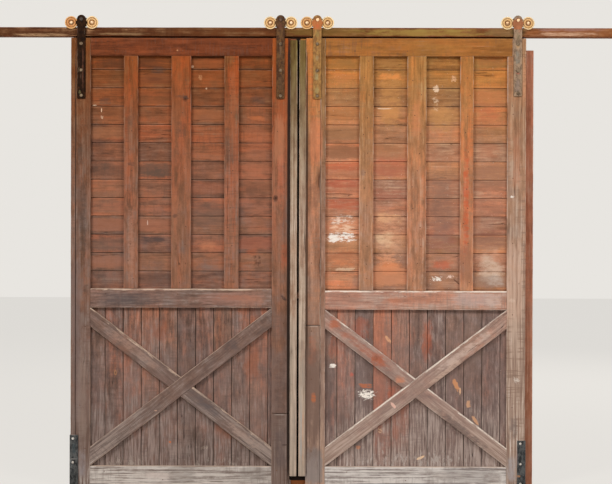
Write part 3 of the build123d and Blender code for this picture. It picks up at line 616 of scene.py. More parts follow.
woodMarks = {
    "leftFrameWood": [
        (131, 164, 12, 7, soot, 0.65), (175, 216, 9, 6, soot, 0.6),
        (76, 340, 14, 280, (124, 108, 106), 0.5, (20, 6)), (185, 99, 9, 9, (88, 50, 34), 0.85),
        (181, 97, 22, 5, soot, 0.6), mark(185, 99, 3, 3, (56, 32, 22), 0.6, 1.2, 1.0, (90, 90), 0.3),
        (284, 298, 12, 5, (66, 50, 46), 0.85, (30, 60), -45), (275.6, 198, 9, 12, soot, 0.6),
        mark(275.6, 198, 7, 7.5, (96, 60, 46), 0.75, 1.1, 0.8, (60, 60), 0.3),
        mark(275.6, 198, 3, 3.4, (52, 32, 25), 0.7, 1.2, 1.0, (90, 90), 0.3), (131, 120, 12, 24, soot, 0.4),
        (181, 130, 16, 26, soot, 0.45), (230, 150, 12, 40, soot, 0.35), (83, 225, 10, 100, soot, 0.6),
        (80, 155, 8, 30, soot, 0.5), (285, 255, 12, 40, redStain, 0.6), (86, 290, 8, 20, soot, 0.5),
        (281, 178, 12, 90, (184, 106, 78), 0.6), (281, 390, 16, 110, (84, 66, 60), 0.4),
        (131, 246, 10, 110, (174, 130, 110), 0.55), (232, 112, 10, 120, (162, 98, 66), 0.5),
        # the dark band at 286 and the dark line at 288.6 are painted shade along the inner stile's edge by the
        # meeting strip, and the dark line at 75.3 painted shade in the joint between the edge strip and the
        # stile
        (82, 395, 14, 160, (148, 128, 118), 0.5, (20, 12)), (286, 260, 9, 470, (64, 44, 34), 0.34, (20, 6)),
        mark(288.6, 260, 3.2, 480, (34, 24, 20), 0.96, 2.2, 0.9, (30, 10), 0.2),
        mark(75.3, 265, 1.3, 480, (52, 34, 26), 0.7, 1.4, 1.2, (30, 20)),
        mark(281, 414.8, 17, 1.1, peeled, 0.25, 0.8, 2.0), (281, 450, 18, 66, (96, 82, 80), 0.65, (30, 10)),
        (82, 464, 13, 44, (148, 138, 139), 0.8, (20, 12)), mark(286, 445, 8, 1.2, (60, 42, 34), 0.8, 1.2),
        wash(279, 140, 14, 66, (186, 126, 94), 0.45, (150, 12)),
        wash(82, 205, 14, 70, (88, 68, 60), 0.4, (150, 12)),
    ],
    "rightFrameWood": [
        (313, 196, 14, 50, (134, 94, 76), 0.6),
        mark(314, 466, 24, 46, (143, 133, 130), 0.85, 1.3, 1.8, (60, 30), 0.4),
        # the dark band at 309 and the dark line at 307 are painted shade along the inner stile's edge by the
        # meeting strip
        (309, 260, 7, 470, (88, 64, 50), 0.45, (20, 6)),
        mark(307, 265, 2.4, 480, (58, 40, 30), 0.85, 1.6, 1.0, (30, 10), 0.2),
        (466, 200, 9, 150, (202, 90, 54), 0.7), (313, 350, 12, 50, (176, 106, 80), 0.5),
        mark(313, 400, 24, 170, (112, 88, 78), 0.72, 1.0, 1.5, (24, 8), 0.4), (314, 398, 7, 18, orange, 0.7),
        mark(313, 326.4, 14, 1.1, peeled, 0.25, 0.8, 2.0), (363, 172, 8, 12, (140, 110, 96), 0.6),
        (416, 120, 14, 60, (206, 132, 92), 0.5), wash(466, 264, 16, 54, (136, 92, 74), 0.5, (150, 12)),
        wash(316, 140, 18, 64, (214, 132, 96), 0.45, (150, 12)),
    ],
    "rightEdgeStileWood": [
        (508.5, 240, 4, 130, (116, 88, 74), 0.6, (20, 10)),
        mark(512, 196, 9, 3, peeled, 0.8, 0.66, 2.4, (60, 120)),
        (516, 160, 12, 90, (190, 128, 98), 0.5, (20, 10)),
        mark(517, 380, 8, 12, peeled, 0.5, 0.6, 2.8, (60, 60), 0.1, 40),
        (513, 428, 15, 36, (106, 94, 92), 0.65, (20, 10)), (512, 468, 16, 40, (172, 166, 168), 0.85, (40, 10)),
        (512, 300, 10, 6, (222, 206, 192), 0.6), (524, 80, 5, 70, (212, 154, 120), 0.6),
        wash(514, 280, 24, 110, (214, 178, 158), 0.45, (150, 12)),
    ],
    "leftLowWood": [
        (235, 298, 70, 9, (166, 100, 72), 0.65), (120, 299, 56, 14, (92, 80, 80), 0.6, (20, 60)),
        (230, 345, 26, 20, (90, 80, 80), 0.5, (20, 60)), (205, 398, 60, 50, (104, 92, 90), 0.5),
        (120, 345, 40, 36, (150, 108, 90), 0.5), (210, 409, 44, 10, (98, 90, 92), 0.5, (26, 60), -38),
        (134, 350, 104, 12, (176, 146, 132), 0.5, (26, 60), -37.8),
        (244, 436, 60, 12, (178, 154, 142), 0.6, (26, 60), -37.8), (250, 299, 40, 12, (178, 122, 96), 0.5),
        wash(128, 299, 80, 18, (84, 76, 76), 0.45), wash(230, 299, 90, 18, (172, 126, 112), 0.4),
        mark(156, 411, 4, 2, (200, 160, 140), 0.8),
    ],
    "rightLowWood": [
        (378, 360, 20, 22, (180, 92, 58), 0.7, (50, 50)), (376, 358, 8, 8, (74, 44, 34), 0.5, (90, 90)),
        (401, 379, 16, 12, (214, 140, 104), 0.7), (336, 322, 18, 20, (184, 102, 70), 0.7),
        mark(394, 405, 4.5, 12, (234, 192, 176), 0.9, 0.85, 1.8, (60, 60), 0.1, 40),
        (410, 300, 90, 12, (196, 126, 96), 0.5), (466, 350, 100, 12, (214, 190, 178), 0.65, (26, 60), 38),
        (366, 350, 96, 12, (176, 98, 70), 0.55, (26, 60), -37.8),
        (462, 429, 100, 11, (108, 92, 88), 0.7, (26, 60), -38.5),
        (446, 372, 60, 9, (216, 188, 170), 0.55, (26, 60), 39.5), (494, 300, 26, 16, (220, 188, 170), 0.55),
        wash(346, 299, 44, 18, (142, 110, 98), 0.4), wash(476, 299, 64, 18, (200, 182, 178), 0.45),
    ],
    "leftBottomRailWood": [
        (160, 476, 90, 10, (176, 158, 150), 0.4), (210, 474, 60, 6, (196, 186, 180), 0.5),
        (158, 477, 40, 14, (218, 204, 198), 0.5), wash(182, 475, 38, 22, (126, 116, 110), 0.4),
        wash(253, 475, 38, 22, (122, 112, 106), 0.4),
    ],
    "rightBottomRailWood": [
        (360, 474, 50, 8, (226, 220, 216), 0.5), (448, 476, 44, 14, (212, 202, 196), 0.5),
        (492, 477, 30, 18, (146, 130, 124), 0.65), wash(470, 475, 74, 22, (134, 126, 124), 0.35),
    ],
    "leftTopRailWood": [
        (126, 46, 26, 8, (86, 44, 28), 0.55, (20, 60)), (232, 48, 34, 8, (94, 56, 40), 0.45, (20, 60)),
        (176, 42, 40, 6, (150, 78, 44), 0.45, (20, 60)), mark(177, 50.5, 2, 2, (196, 146, 104), 0.7, 1.0),
    ],
    "leftUpperBoardWood": [
        mark(94, 105.2, 7, 1.6, cream, 0.75, 0.8, 2.0), mark(100.6, 110, 1.5, 6, cream, 0.8, 0.9),
        mark(101.2, 117, 5, 6, cream, 0.6, 0.6, 2.6, (60, 60), 0.2),
        mark(191.6, 66.2, 4.5, 4.5, cream, 0.85, 0.85, 1.6, (60, 60), 0.3),
        mark(199.8, 77, 7, 10, (196, 142, 100), 0.6, 0.62, 2.6, (60, 60), 0.2),
        mark(205.8, 88.2, 2.5, 2.5, cream, 0.6, 0.9), mark(147, 223, 1.5, 7, peeled, 0.6, 0.9),
        (152, 240.5, 40, 15, (80, 66, 64), 0.9, (9, 40)), (207, 246, 24, 14, (190, 124, 92), 0.65, (20, 40)),
        mark(257, 260, 11, 15, (72, 44, 34), 0.65, 0.62, 2.8, (60, 60), 0.2),
        (97, 143, 30, 14, (90, 60, 50), 0.5, (14, 30)), (256, 170, 38, 220, (178, 112, 84), 0.35, (9, 30)),
        (152, 196, 34, 14, (172, 104, 74), 0.5, (14, 30)), (256, 196, 30, 30, (96, 68, 56), 0.45, (14, 30)),
        (252, 252, 18, 12, (184, 100, 66), 0.5), (156, 172, 30, 18, soot, 0.7), (157, 70, 20, 12, soot, 0.6),
        (100, 166, 26, 14, soot, 0.6), (104, 101, 20, 12, soot, 0.5), (98, 275, 24, 20, soot, 0.6),
        (258, 100, 22, 14, soot, 0.5), (205, 118, 24, 10, soot, 0.45), (256, 118, 26, 8, orange, 0.5),
        wash(154, 170, 56, 19, (92, 76, 66), 0.7), wash(130, 63, 100, 13, (84, 48, 30), 0.55),
        wash(207, 63, 56, 13, (158, 88, 50), 0.5), wash(154, 280, 56, 17, (92, 70, 62), 0.4),
        wash(108, 206, 56, 17, (118, 92, 80), 0.35), wash(108, 133, 56, 17, (164, 108, 74), 0.4),
        wash(154, 78, 56, 16, (148, 84, 50), 0.4), wash(154, 97, 56, 17, (112, 70, 46), 0.35),
        wash(108, 170, 56, 17, (98, 74, 62), 0.35), wash(207, 188, 56, 17, (162, 98, 72), 0.4),
        wash(255, 188, 56, 17, (108, 74, 56), 0.4), wash(108, 225, 56, 18, (170, 110, 84), 0.5),
        wash(108, 262, 56, 18, (168, 112, 88), 0.5), wash(154, 225, 56, 18, (176, 112, 86), 0.45),
        wash(207, 115, 56, 18, (168, 102, 66), 0.5), wash(207, 215, 56, 36, (106, 86, 76), 0.5),
        wash(255, 243, 56, 18, (172, 102, 78), 0.5), wash(108, 244, 56, 17, (106, 86, 76), 0.5),
        # the meeting gap between the strips: painted shade
        mark(297.85, 160, 5, 260, gapShade, 1.0, 3.0, 0.0),
    ],
    "rightUpperBoardWood": [
        (343, 165, 56, 18, (196, 104, 72), 0.8, (14, 100)), (343, 183, 56, 18, (180, 92, 70), 0.8, (14, 100)),
        (343, 204, 56, 20, (182, 96, 70), 0.85, (14, 100)),
        (389.5, 166, 54, 34, (186, 104, 78), 0.75, (14, 100)),
        (389.5, 194, 54, 20, (174, 106, 84), 0.65, (14, 100)),
        (389.5, 148, 54, 18, (160, 112, 78), 0.5, (14, 100)), (489, 60, 38, 16, (176, 106, 64), 0.5, (12, 30)),
        (489, 150, 38, 24, (184, 120, 90), 0.5, (12, 30)), (490, 170, 54, 26, (170, 116, 92), 0.6, (14, 100)),
        (490, 205, 54, 40, (160, 110, 90), 0.65, (14, 100)), (490, 238, 54, 28, (152, 100, 84), 0.7, (14, 100)),
        (442, 160, 34, 24, (166, 112, 84), 0.5, (12, 30)), (442, 236, 54, 46, (152, 96, 82), 0.7, (14, 100)),
        (343, 112, 54, 34, (180, 118, 72), 0.6, (14, 100)), (442, 264, 32, 14, (198, 104, 74), 0.7),
        (389.5, 75.5, 36, 10, (222, 140, 74), 0.95, (18, 40)), (489, 112, 34, 18, (192, 106, 74), 0.5),
        (343, 78, 32, 15, (190, 122, 72), 0.7), (343, 258, 54, 30, (180, 112, 80), 0.6),
        (343, 62, 34, 12, (168, 116, 66), 0.8, (18, 40)), (389, 62, 34, 12, (160, 112, 64), 0.7, (18, 40)),
        (390, 112, 32, 20, (204, 140, 86), 0.6, (14, 30)), (343, 130, 52, 24, (188, 122, 80), 0.5, (14, 100)),
        (388, 262, 34, 28, (218, 134, 86), 0.6), (442, 190, 32, 46, (142, 112, 98), 0.6),
        (342, 148, 38, 18, (140, 100, 76), 0.55, (10, 26)), (343, 141, 54, 30, (160, 110, 76), 0.45, (14, 100)),
        (490, 184, 54, 20, (158, 110, 88), 0.45, (14, 100)), (442, 214, 32, 34, (138, 102, 86), 0.55),
        (489, 98, 52, 34, (186, 114, 76), 0.6), (442, 116, 32, 50, (200, 146, 92), 0.5),
        (390, 100, 32, 84, (204, 146, 86), 0.5), (390, 245, 34, 74, (222, 166, 132), 0.6),
        (490, 254, 34, 26, (216, 168, 142), 0.6), (485, 160, 24, 20, (200, 150, 122), 0.35),
        (442, 230, 32, 34, (148, 112, 98), 0.6),
        mark(342, 219, 36, 16, (238, 220, 206), 0.85, 0.64, 2.4, (30, 80), 0.2),
        mark(342, 228, 36, 12, (240, 206, 178), 0.8, 0.7, 2.2, (24, 90), 0.25),
        mark(341.5, 237, 37, 13, peeled, 0.95, 0.76, 2.8, (40, 110), 0.15),
        mark(333, 238, 15, 9, peeled, 0.9, 0.74, 3.0, (60, 90), 0.1),
        (389, 218, 38, 16, (224, 172, 132), 0.85, (14, 26)), (384, 238, 32, 22, (232, 196, 160), 0.8, (16, 30)),
        (343, 262, 34, 12, (222, 140, 96), 0.6, (16, 30)), (392, 268, 30, 20, (222, 134, 84), 0.6, (16, 30)),
        (489, 122, 52, 20, (184, 112, 78), 0.5, (16, 100)),
        mark(436, 88, 8, 10, cream, 0.85, 0.7, 3.0, (60, 90)),
        mark(435, 103, 9, 26, cream, 0.6, 0.58, 2.8, (50, 70), 0.2),
        mark(453, 78, 9, 9, rawWood, 0.8, 0.62, 3.0, (80, 80), 0.15),
        mark(437, 278.5, 14, 6, peeled, 0.95, 0.66, 3.2, (90, 140)),
        mark(451, 276.5, 10, 5, (236, 206, 192), 0.85, 0.64, 3.0, (90, 120)),
        mark(458, 282, 14, 2, (84, 50, 40), 0.7, 0.9, 1.6, (60, 60), 0.1, -40),
        mark(447.5, 188, 7, 6, (206, 178, 158), 0.75, 0.72, 2.2, (60, 60), 0.2),
        mark(385, 108, 20, 1.5, cream, 0.8, 0.8), (492, 270, 36, 40, (212, 184, 164), 0.9, (14, 26)),
        (497, 280, 24, 18, (230, 218, 208), 0.6, (24, 50)), mark(343, 269, 30, 4, cream, 0.6, 0.7, 2.4),
        (478, 222, 12, 26, (170, 112, 84), 0.5), wash(343, 152, 60, 19, (140, 96, 70), 0.8),
        wash(343, 133, 60, 18, (140, 106, 76), 0.45), wash(489, 243, 60, 18, (142, 110, 94), 0.45),
        wash(389, 276, 60, 28, (216, 146, 108), 0.65), wash(389, 152, 60, 18, (150, 106, 76), 0.45),
        wash(442, 189, 60, 52, (140, 100, 82), 0.4), wash(343, 63, 60, 13, (138, 100, 52), 0.5),
        wash(489, 63, 60, 13, (132, 100, 60), 0.5), wash(489, 178, 60, 36, (146, 108, 88), 0.4),
        wash(489, 281, 60, 16, (148, 122, 110), 0.5), wash(343, 171, 60, 16, (162, 92, 68), 0.4),
        wash(343, 188, 60, 17, (160, 94, 72), 0.35), wash(389, 170, 60, 17, (158, 100, 78), 0.4),
        wash(442, 215, 60, 36, (136, 100, 88), 0.35), wash(442, 115, 60, 18, (206, 150, 92), 0.35),
        wash(489, 96, 60, 18, (206, 134, 82), 0.4),
    ],
    "leftLowerBoardWood": [
        (112, 392, 20, 70, soot, 0.6, (26, 12)),
        mark(115.2, 373.5, 5, 8, (170, 122, 88), 0.7, 0.8, 1.4, (60, 60), 0.2),
        mark(115.2, 373.5, 2, 3, soot, 0.6, 1.0),
        mark(205, 449, 9, 8, (190, 174, 160), 0.45, 0.62, 2.8, (80, 80)),
        # the line at 122.6 is painted shade in a board joint
        (198, 440, 26, 44, soot, 0.6, (26, 12)), mark(122.6, 322, 1.6, 40, gapShade, 0.7, 1.2, 1.2),
        mark(170, 443, 3, 3, orange, 0.8, 1), (160, 330, 30, 34, (150, 90, 66), 0.6, (26, 12)),
        (252, 360, 26, 60, (154, 92, 66), 0.55, (26, 12)), (225, 430, 30, 30, (150, 96, 72), 0.45, (26, 12)),
        mark(125, 470, 70, 36, (186, 176, 166), 0.5, 0.56, 2.4, (80, 26), 0.2),
        mark(220, 470, 110, 30, (186, 176, 166), 0.45, 0.54, 2.4, (80, 26), 0.2),
        # the mark at 297.85 is painted shade in the meeting gap
        (176, 450, 20, 22, (156, 136, 128), 0.5, (26, 12)), mark(297.85, 390, 5, 230, gapShade, 1.0, 3.0, 0.0),
        # under the meeting strips' ends: a dark brown, with a painted shadow band above it
        mark(298, 482, 14, 10, (122, 70, 38), 1.0, 2.0, 0.3),
        mark(298, 478.2, 18, 6.2, gapShade, 0.97, 2.0, 0.8, (30, 90)),
    ],
    "rightLowerBoardWood": [
        (428, 340, 16, 56, (184, 96, 64), 0.6, (30, 14)), (360, 330, 26, 36, (176, 96, 70), 0.55, (30, 14)),
        (334, 345, 14, 40, (172, 96, 72), 0.5, (30, 12)), (400, 420, 20, 60, (166, 98, 74), 0.4, (30, 12)),
        (392, 392, 14, 20, (180, 92, 62), 0.6, (30, 30)), (345, 420, 26, 60, (114, 96, 90), 0.5, (30, 12)),
        (470, 345, 44, 60, (136, 114, 106), 0.45, (30, 12)), (352, 375, 6, 9, (206, 100, 84), 0.7),
        mark(333, 366, 11, 6, peeled, 1.0, 0.75, 2.2),
        mark(368, 394.5, 20, 12, peeled, 1.0, 0.74, 2.8, (70, 110)),
        mark(388.5, 339, 5, 13, (218, 166, 130), 0.9, 0.85, 1.8, (60, 60), 0.1, 40),
        mark(366, 386, 20, 7, (190, 112, 78), 0.8, 0.7),
        mark(457, 385, 6, 18, (212, 150, 108), 0.9, 0.85, 1.8, (60, 60), 0.1, 28),
        mark(461, 391, 3, 10, (226, 184, 150), 0.8, 0.8),
        mark(469.5, 404, 7, 12, (212, 164, 130), 0.85, 0.8, 2.0, (60, 60), 0.1),
        mark(476, 420, 4, 17, (214, 164, 128), 0.85, 0.85, 1.8, (60, 60), 0.1, 30),
        mark(421.5, 458, 12, 3.4, (238, 202, 166), 0.95, 1.0, 1.2, (60, 60), 0.1, 25),
        mark(359, 448, 7, 7, (200, 134, 98), 0.7, 0.72, 2.2),
        mark(381, 430.5, 9, 8, (226, 190, 156), 0.6, 0.62, 2.8, (80, 80)),
        mark(415, 466, 180, 40, (202, 192, 186), 0.6, 0.56, 2.4, (80, 26), 0.2),
        # the mark at 303 and the next one: a dark brown under the right meeting strip's end, with a painted
        # shadow band above it
        (492, 430, 30, 30, (108, 96, 92), 0.4, (30, 12)), mark(303, 482, 14, 10, (122, 70, 38), 1.0, 2.0, 0.3),
        mark(301, 478.2, 18, 6.2, gapShade, 0.97, 2.0, 0.8, (30, 90)),
    ],
    "meetingStripWood": [
        # a dark line on the left strip's left edge: painted shadow cast by the stile
        mark(289.2, 260, 1.6, 480, (62, 40, 28), 0.85, 1.6, 0.8),
        (301.5, 430, 3.4, 110, (172, 170, 168), 0.6, (20, 10)),
        (303.5, 440, 2, 90, (206, 152, 120), 0.6, (30, 10)),
    ],
    "railTimber": [
        (40, 35, 80, 4.4, (170, 134, 100), 0.92, (18, 120)), (122, 34, 74, 3.4, (150, 118, 84), 0.8, (18, 120)),
        (566, 33.5, 84, 6, (206, 166, 138), 0.85, (18, 120)),
        # the olive marks at 420 and the olive washes at 328 and 505 are painted light, a greenish haze over the
        # rail's middle and right
        (240, 33, 60, 2.4, (140, 104, 70), 0.7, (18, 120)), (420, 32, 190, 12, (156, 124, 62), 0.88, (12, 60)),
        (568, 29, 100, 5, (160, 120, 112), 0.8, (12, 60)), (420, 30.4, 190, 4, (160, 132, 70), 0.6, (12, 60)),
        (30, 30.4, 90, 4, (120, 76, 50), 0.6, (12, 60)), wash(328, 32, 116, 12, (134, 108, 50), 0.4, (12, 60)),
        wash(505, 32, 54, 12, (132, 114, 74), 0.4, (12, 60)),
    ],
    "casingWood": [
        (530, 170, 9, 260, (206, 138, 106), 0.5, (20, 8)), (527, 260, 3, 460, (120, 76, 60), 0.6, (20, 8)),
        (530, 400, 9, 80, (146, 98, 80), 0.5, (20, 8)), (530, 455, 9, 70, (110, 76, 68), 0.85, (20, 8)),
    ],
}
wood = {}
for name, look in woodLooks.items():
    wood[name] = weatheredWood(name, makeLook(baseWood, look), woodMarks.get(name, ()))
print("wood materials made")

# The fixed frame: rail, ledger, casing and stops. Tone 0 is the darkest and 1 the brightest, and
# bareness is the share of stain gone.
fixedFrame = {  # seed, upright, wood, slot, tone and bareness
    "running_rail": (11, False, "railTimber", "rail_timber", (0.05, 0.9), 0.25),
    "rail_ledger": (12, False, "sawnTimber", "hidden_timber", 0.4, 0.2),
    "head_casing": (13, False, "casingWood", "casing_wood", 0.4, 0.3),
    "jamb_left": (14, True, "casingWood", "casing_wood", 0.4, 0.3),
    "jamb_right": (15, True, "casingWood", "casing_wood", 0.55, 0.3),
    "end_stop_left": (16, True, "railTimber", "rail_timber", 0.5, 0.4),
    "end_stop_right": (17, True, "railTimber", "rail_timber", 0.5, 0.4),
}
railArris = 0.003
fixingHoles = {
    "places": (0.084, 0.9985, 1.51425, 2.030),  # from the rail's middle, to both sides
    "bore": 0.0055,
    "counterbore": (0.012, 0.009),  # radius and depth
    "overrun": 0.01,
    "sides": 28,
}


def boreHoles(plank, front, back, radius):  # bored straight back, at every fixing
    drills = []
    for place in fixingHoles["places"]:
        for sign in (-1, 1):
            selectOnly()
            middle = (place * sign, (front + back) / 2, 0)
            bpy.ops.mesh.primitive_cylinder_add(
                vertices=fixingHoles["sides"], radius=radius, depth=back - front, location=middle,
                rotation=(math.pi / 2, 0, 0))
            drills.append(bpy.context.object)
    drill = joinPieces("drill", drills)
    cut = plank.modifiers.new("bored", "BOOLEAN")
    cut.operation, cut.object, cut.solver = "DIFFERENCE", drill, "EXACT"
    applyAll(plank)
    bpy.data.objects.remove(drill)


for node, (seed, upright, finish, slot, tone, bareness) in fixedFrame.items():
    low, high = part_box(node)
    front, back = low.y - fixingHoles["overrun"], high.y + fixingHoles["overrun"]
    arris = railArris if node == "running_rail" else plankShape["arris"]
    plank = plankBetween(low, high, seed, upright, tone=tone, bareness=bareness, arris=arris)
    if node in ("running_rail", "rail_ledger"):
        boreHoles(plank, front, back, fixingHoles["bore"])
    if node == "running_rail":
        radius, depth = fixingHoles["counterbore"]
        boreHoles(plank, front, low.y + depth, radius)
    finishPiece(node + "Timber", [plank], wood[finish], "frame", [node])
print("fixed frame made")

# The leaves' frames
leafTimber = {  # seed, upright, tone and bareness
    "left_outer_stile": (101, True, 0.28, 0.36), "left_edge_strip": (102, True, 0.38, 0.42),
    "left_top_rail": (104, False, 0.42, 0.05), "left_mid_rail": (105, False, 0.5, 0.3),
    "left_bottom_rail": (106, False, 0.45, 0.5), "left_inner_batten": (107, True, 0.66, 0.32),
    "left_middle_batten": (108, True, 0.6, 0.15), "left_outer_batten": (109, True, 0.56, 0.28),
    "right_top_rail": (204, False, 0.55, 0.1), "right_mid_rail": (205, False, 0.8, 0.4),
    "right_bottom_rail": (206, False, 0.45, 0.5), "right_inner_batten": (207, True, 0.5, 0.25),
    "right_middle_batten": (208, True, 0.55, 0.25), "right_outer_batten": (209, True, 0.64, 0.08),
}
railWood = {"top_rail": "TopRailWood", "mid_rail": "LowWood", "bottom_rail": "BottomRailWood"}
for node, (seed, upright, tone, bareness) in leafTimber.items():
    side, part = node.split("_", 1)
    topWorn = 0 if upright else 1
    plank = plankBetween(*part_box(node), seed, upright, tone=tone, bareness=bareness, topWorn=topWorn)
    finishTimber(node, [plank], side + railWood.get(part, "FrameWood"))

# Each inner stile is two lengths butted end to end, and the right one has a bead beside it
innerStiles = {
    "left": {"seed": 121, "joint": 0.330, "bead": 0,
             "lower": {"tone": 0.0, "bareness": 0.15},
             "upper": {"tone": (0.35, 0.85), "bareness": 0.2}},
    "right": {"seed": 221, "joint": 0.735, "bead": 0.023,
              "lower": {"tone": (-0.5, -0.1), "bareness": 0.12},
              "upper": {"tone": (0.3, 0.7), "bareness": 0.1}},
}
sawGap = 0.0026
for side, how in innerStiles.items():
    node = side + "_inner_stile"
    low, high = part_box(node)
    joint = low.z + how["joint"]
    boardHigh = Vector((high.x - how["bead"], high.y, high.z))
    lowerHigh = (boardHigh.x, high.y, joint - sawGap / 2)
    upperLow = (low.x, low.y, joint + sawGap / 2)
    planks = [plankBetween(low, lowerHigh, how["seed"], True, **how["lower"]),
              plankBetween(upperLow, boardHigh, how["seed"] + 1, True, **how["upper"])]
    if how["bead"]:
        beadLow = (boardHigh.x + sawGap / 3, low.y, low.z)
        planks.append(plankBetween(beadLow, high, how["seed"] + 2, True, tone=0.1, bareness=0.2))
    finishTimber(node, planks, side + "FrameWood")

# The right outer stile is narrower beside the top rail, which is let into it
low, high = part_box("right_outer_stile")
railLow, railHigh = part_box("right_top_rail")
body = plankBetween(low, (high.x, high.y, railLow.z), 231, True, tone=0.5, bareness=0.45)
head = plankBetween((railHigh.x, low.y, railLow.z), high, 232, True, tone=0.45, bareness=0.6)
finishTimber("right_outer_stile", [body, head], "rightEdgeStileWood")

meetingStrips = {"left": (141, 0), "right": (241, 0.0015)}  # seed, and how far it keeps off the other
for side, (seed, clear) in meetingStrips.items():
    node = side + "_meeting_strip"
    low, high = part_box(node)
    low.x += clear
    plank = plankBetween(low, high, seed, True, tone=0.5, bareness=0.5)
    finishTimber(node, [plank], "meetingStripWood")
print("leaf frames made")

# Braces: the long one rises to the right, and the halves of the other stop against it
braces = {
    "width": 0.069,
    "spare": 0.12,
    "left": {"seed": 151, "tone": 0.32, "bareness": 0.22, "lips": (0, 1.3)},
    "right": {"seed": 251, "tone": 0.4, "bareness": 0.3, "lips": (0.8, 1.0)},  # pale lines of long and short
    "shortTone": 0.9,
}


def braceSlope(low, high):
    run, rise = high.x - low.x, high.z - low.z
    return math.atan2(rise, run) - math.asin(braces["width"] / math.hypot(run, rise))


def makeBraces(side):
    low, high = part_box(side + "_long_brace")
    how, width = braces[side], braces["width"]
    slope, centre = braceSlope(low, high), (low + high) / 2
    length = (high.x - low.x) / math.cos(slope) + braces["spare"]
    upward = Vector((-math.sin(slope), 0, math.cos(slope)))
    edge = width / 2

    def lay(number, tone, lean):
        plank = makePlank(length, width, high.y - low.y, how["seed"] + number, tone, how["bareness"],
                          topWorn=how["lips"][number])
        return layPlank(plank, centre, lean)

    longBrace = lay(0, how["tone"], slope)
    cutAt(longBrace, low, (-1, 0, 0))
    cutAt(longBrace, high, (1, 0, 0))
    finishTimber(side + "_long_brace", [longBrace], side + "LowWood")
    for place, sign, end in (("upper", 1, low), ("lower", -1, high)):
        half = lay(1, how["tone"] * braces["shortTone"], -slope)
        cutAt(half, centre + upward * edge * sign, upward * -sign)
        cutAt(half, end, (-sign, 0, 0))
        finishTimber(f"{side}_{place}_short_brace", [half], side + "LowWood")


makeBraces("left")
makeBraces("right")
print("braces made")

# Panel boards: level ones above, upright ones below, each joint a V over a tongue
panelBoards = {
    "pitch": 0.0841, "topBoard": 0.059, "lowerPitch": 0.0832, "narrowest": 0.002,
    "veeSide": 0.0026, "jointGap": 0.0006, "tongue": (0.012, 0.005),
    "upperWear": 0.7, "lowerWear": 0.8, "underBraces": 0.003,
    # lap is how far the boards have crept towards the other leaf; upper and lower are seed and tones
    "left": {"lap": 0, "bayShift": 0.32, "firstJoint": 0.016,
             "upper": (300, 0.3, 0.75), "lower": (380, 0.25, 0.75)},
    "right": {"lap": 0.0085, "bayShift": 0.4, "firstJoint": 0.061,
              "upper": (340, 0.2, 0.8), "lower": (420, 0.25, 0.8)},
}
frameParts = ["outer_stile", "inner_stile", "top_rail", "mid_rail", "bottom_rail"]
battenParts = ["inner_batten", "middle_batten", "outer_batten"]


def jointPlaces(start, end, first, pitch):
    place, places = start + first, []
    while place < end - panelBoards["narrowest"]:
        places.append(place)
        place += pitch
    return [start, *places, end]


def makeTongue(x, y, z, length, upright):
    wide, deep = panelBoards["tongue"]
    selectOnly()
    bpy.ops.mesh.primitive_cube_add(size=1, location=(x, y, z))
    tongue = bpy.context.object
    tongue.scale = (wide, deep, length) if upright else (length, deep, wide)
    bpy.ops.object.transform_apply(location=True, rotation=False, scale=True)
    for name, shape in (("grain", (8, 3)), ("plank", (8, 3)), ("bareness", 8)):
        keepOnPoints(tongue, name, np.zeros(shape))
    return tongue


def varyBays(plank, limits, shifts, middle):  # on its front a board's tone differs between the battens
    x, y, _ = readPlaces(plank).T
    data = plank.data.attributes["plank"].data
    values = np.zeros(len(x) * 3, np.float32)
    data.foreach_get("vector", values)
    values[2::3] += np.array(shifts)[np.searchsorted(limits, x)] * (y < middle)
    data.foreach_set("vector", values)


# Every point of the boards' front keeps how far it lies from the nearest timber over it, for the painted shade
# and painted shadow line by the timbers
def tuckBoards(piece, side, parts, braced):
    x, y, z = readPlaces(piece).T
    z = z + (panelBoards["underBraces"] if braced else 0.0)  # the painted shade reaches further under the braces
    nearest = np.ones(len(x))
    for part in parts:
        low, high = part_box(f"{side}_{part}")
        across = np.maximum(np.maximum(low.x - x, x - high.x), 0)
        up = np.maximum(np.maximum(low.z - z, z - high.z), 0)
        nearest = np.minimum(nearest, np.hypot(across, up))
    if braced:
        low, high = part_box(side + "_long_brace")
        slope = braceSlope(low, high)
        middleX, middleZ = (low.x + high.x) / 2, (low.z + high.z) / 2
        for lean in (slope, -slope):
            away = np.abs((z - middleZ) * math.cos(lean) - (x - middleX) * math.sin(lean))
            nearest = np.minimum(nearest, np.maximum(away - braces["width"] / 2, 0))
    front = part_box(side + "_inner_stile")[0].y
    nearest[y > (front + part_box(side + "_upper_boards")[1].y) / 2] = 1
    keepOnPoints(piece, "tucked", nearest)


def makeUpperBoards(side):
    node, how = side + "_upper_boards", panelBoards[side]
    low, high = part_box(node)
    seed, *tones = how["upper"]
    draw = random.Random(seed)
    drops = jointPlaces(0, high.z - low.z, panelBoards["topBoard"], panelBoards["pitch"])
    battens = [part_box(f"{side}_{part}") for part in battenParts]
    limits = sorted((start.x + end.x) / 2 for start, end in battens)
    low.x -= how["lap"]
    gap, shift = panelBoards["jointGap"] / 2, how["bayShift"]
    planks = []
    for number, (first, second) in enumerate(zip(drops, drops[1:])):
        plank = plankBetween((low.x, low.y, high.z - second + gap), (high.x, high.y, high.z - first - gap),
                             seed + number, False, tone=draw.uniform(*tones), bareness=draw.uniform(0.0, 0.3),
                             arris=panelBoards["veeSide"], wear=panelBoards["upperWear"])
        varyBays(plank, limits, [draw.uniform(-shift, shift) for _ in range(4)], (low.y + high.y) / 2)
        planks.append(plank)
        if number:
            place = ((low.x + high.x) / 2, (low.y + high.y) / 2, high.z - first)
            planks.append(makeTongue(*place, high.x - low.x, False))
    boards = finishTimber(node, planks, side + "UpperBoardWood")
    tuckBoards(boards, side, frameParts + battenParts, False)


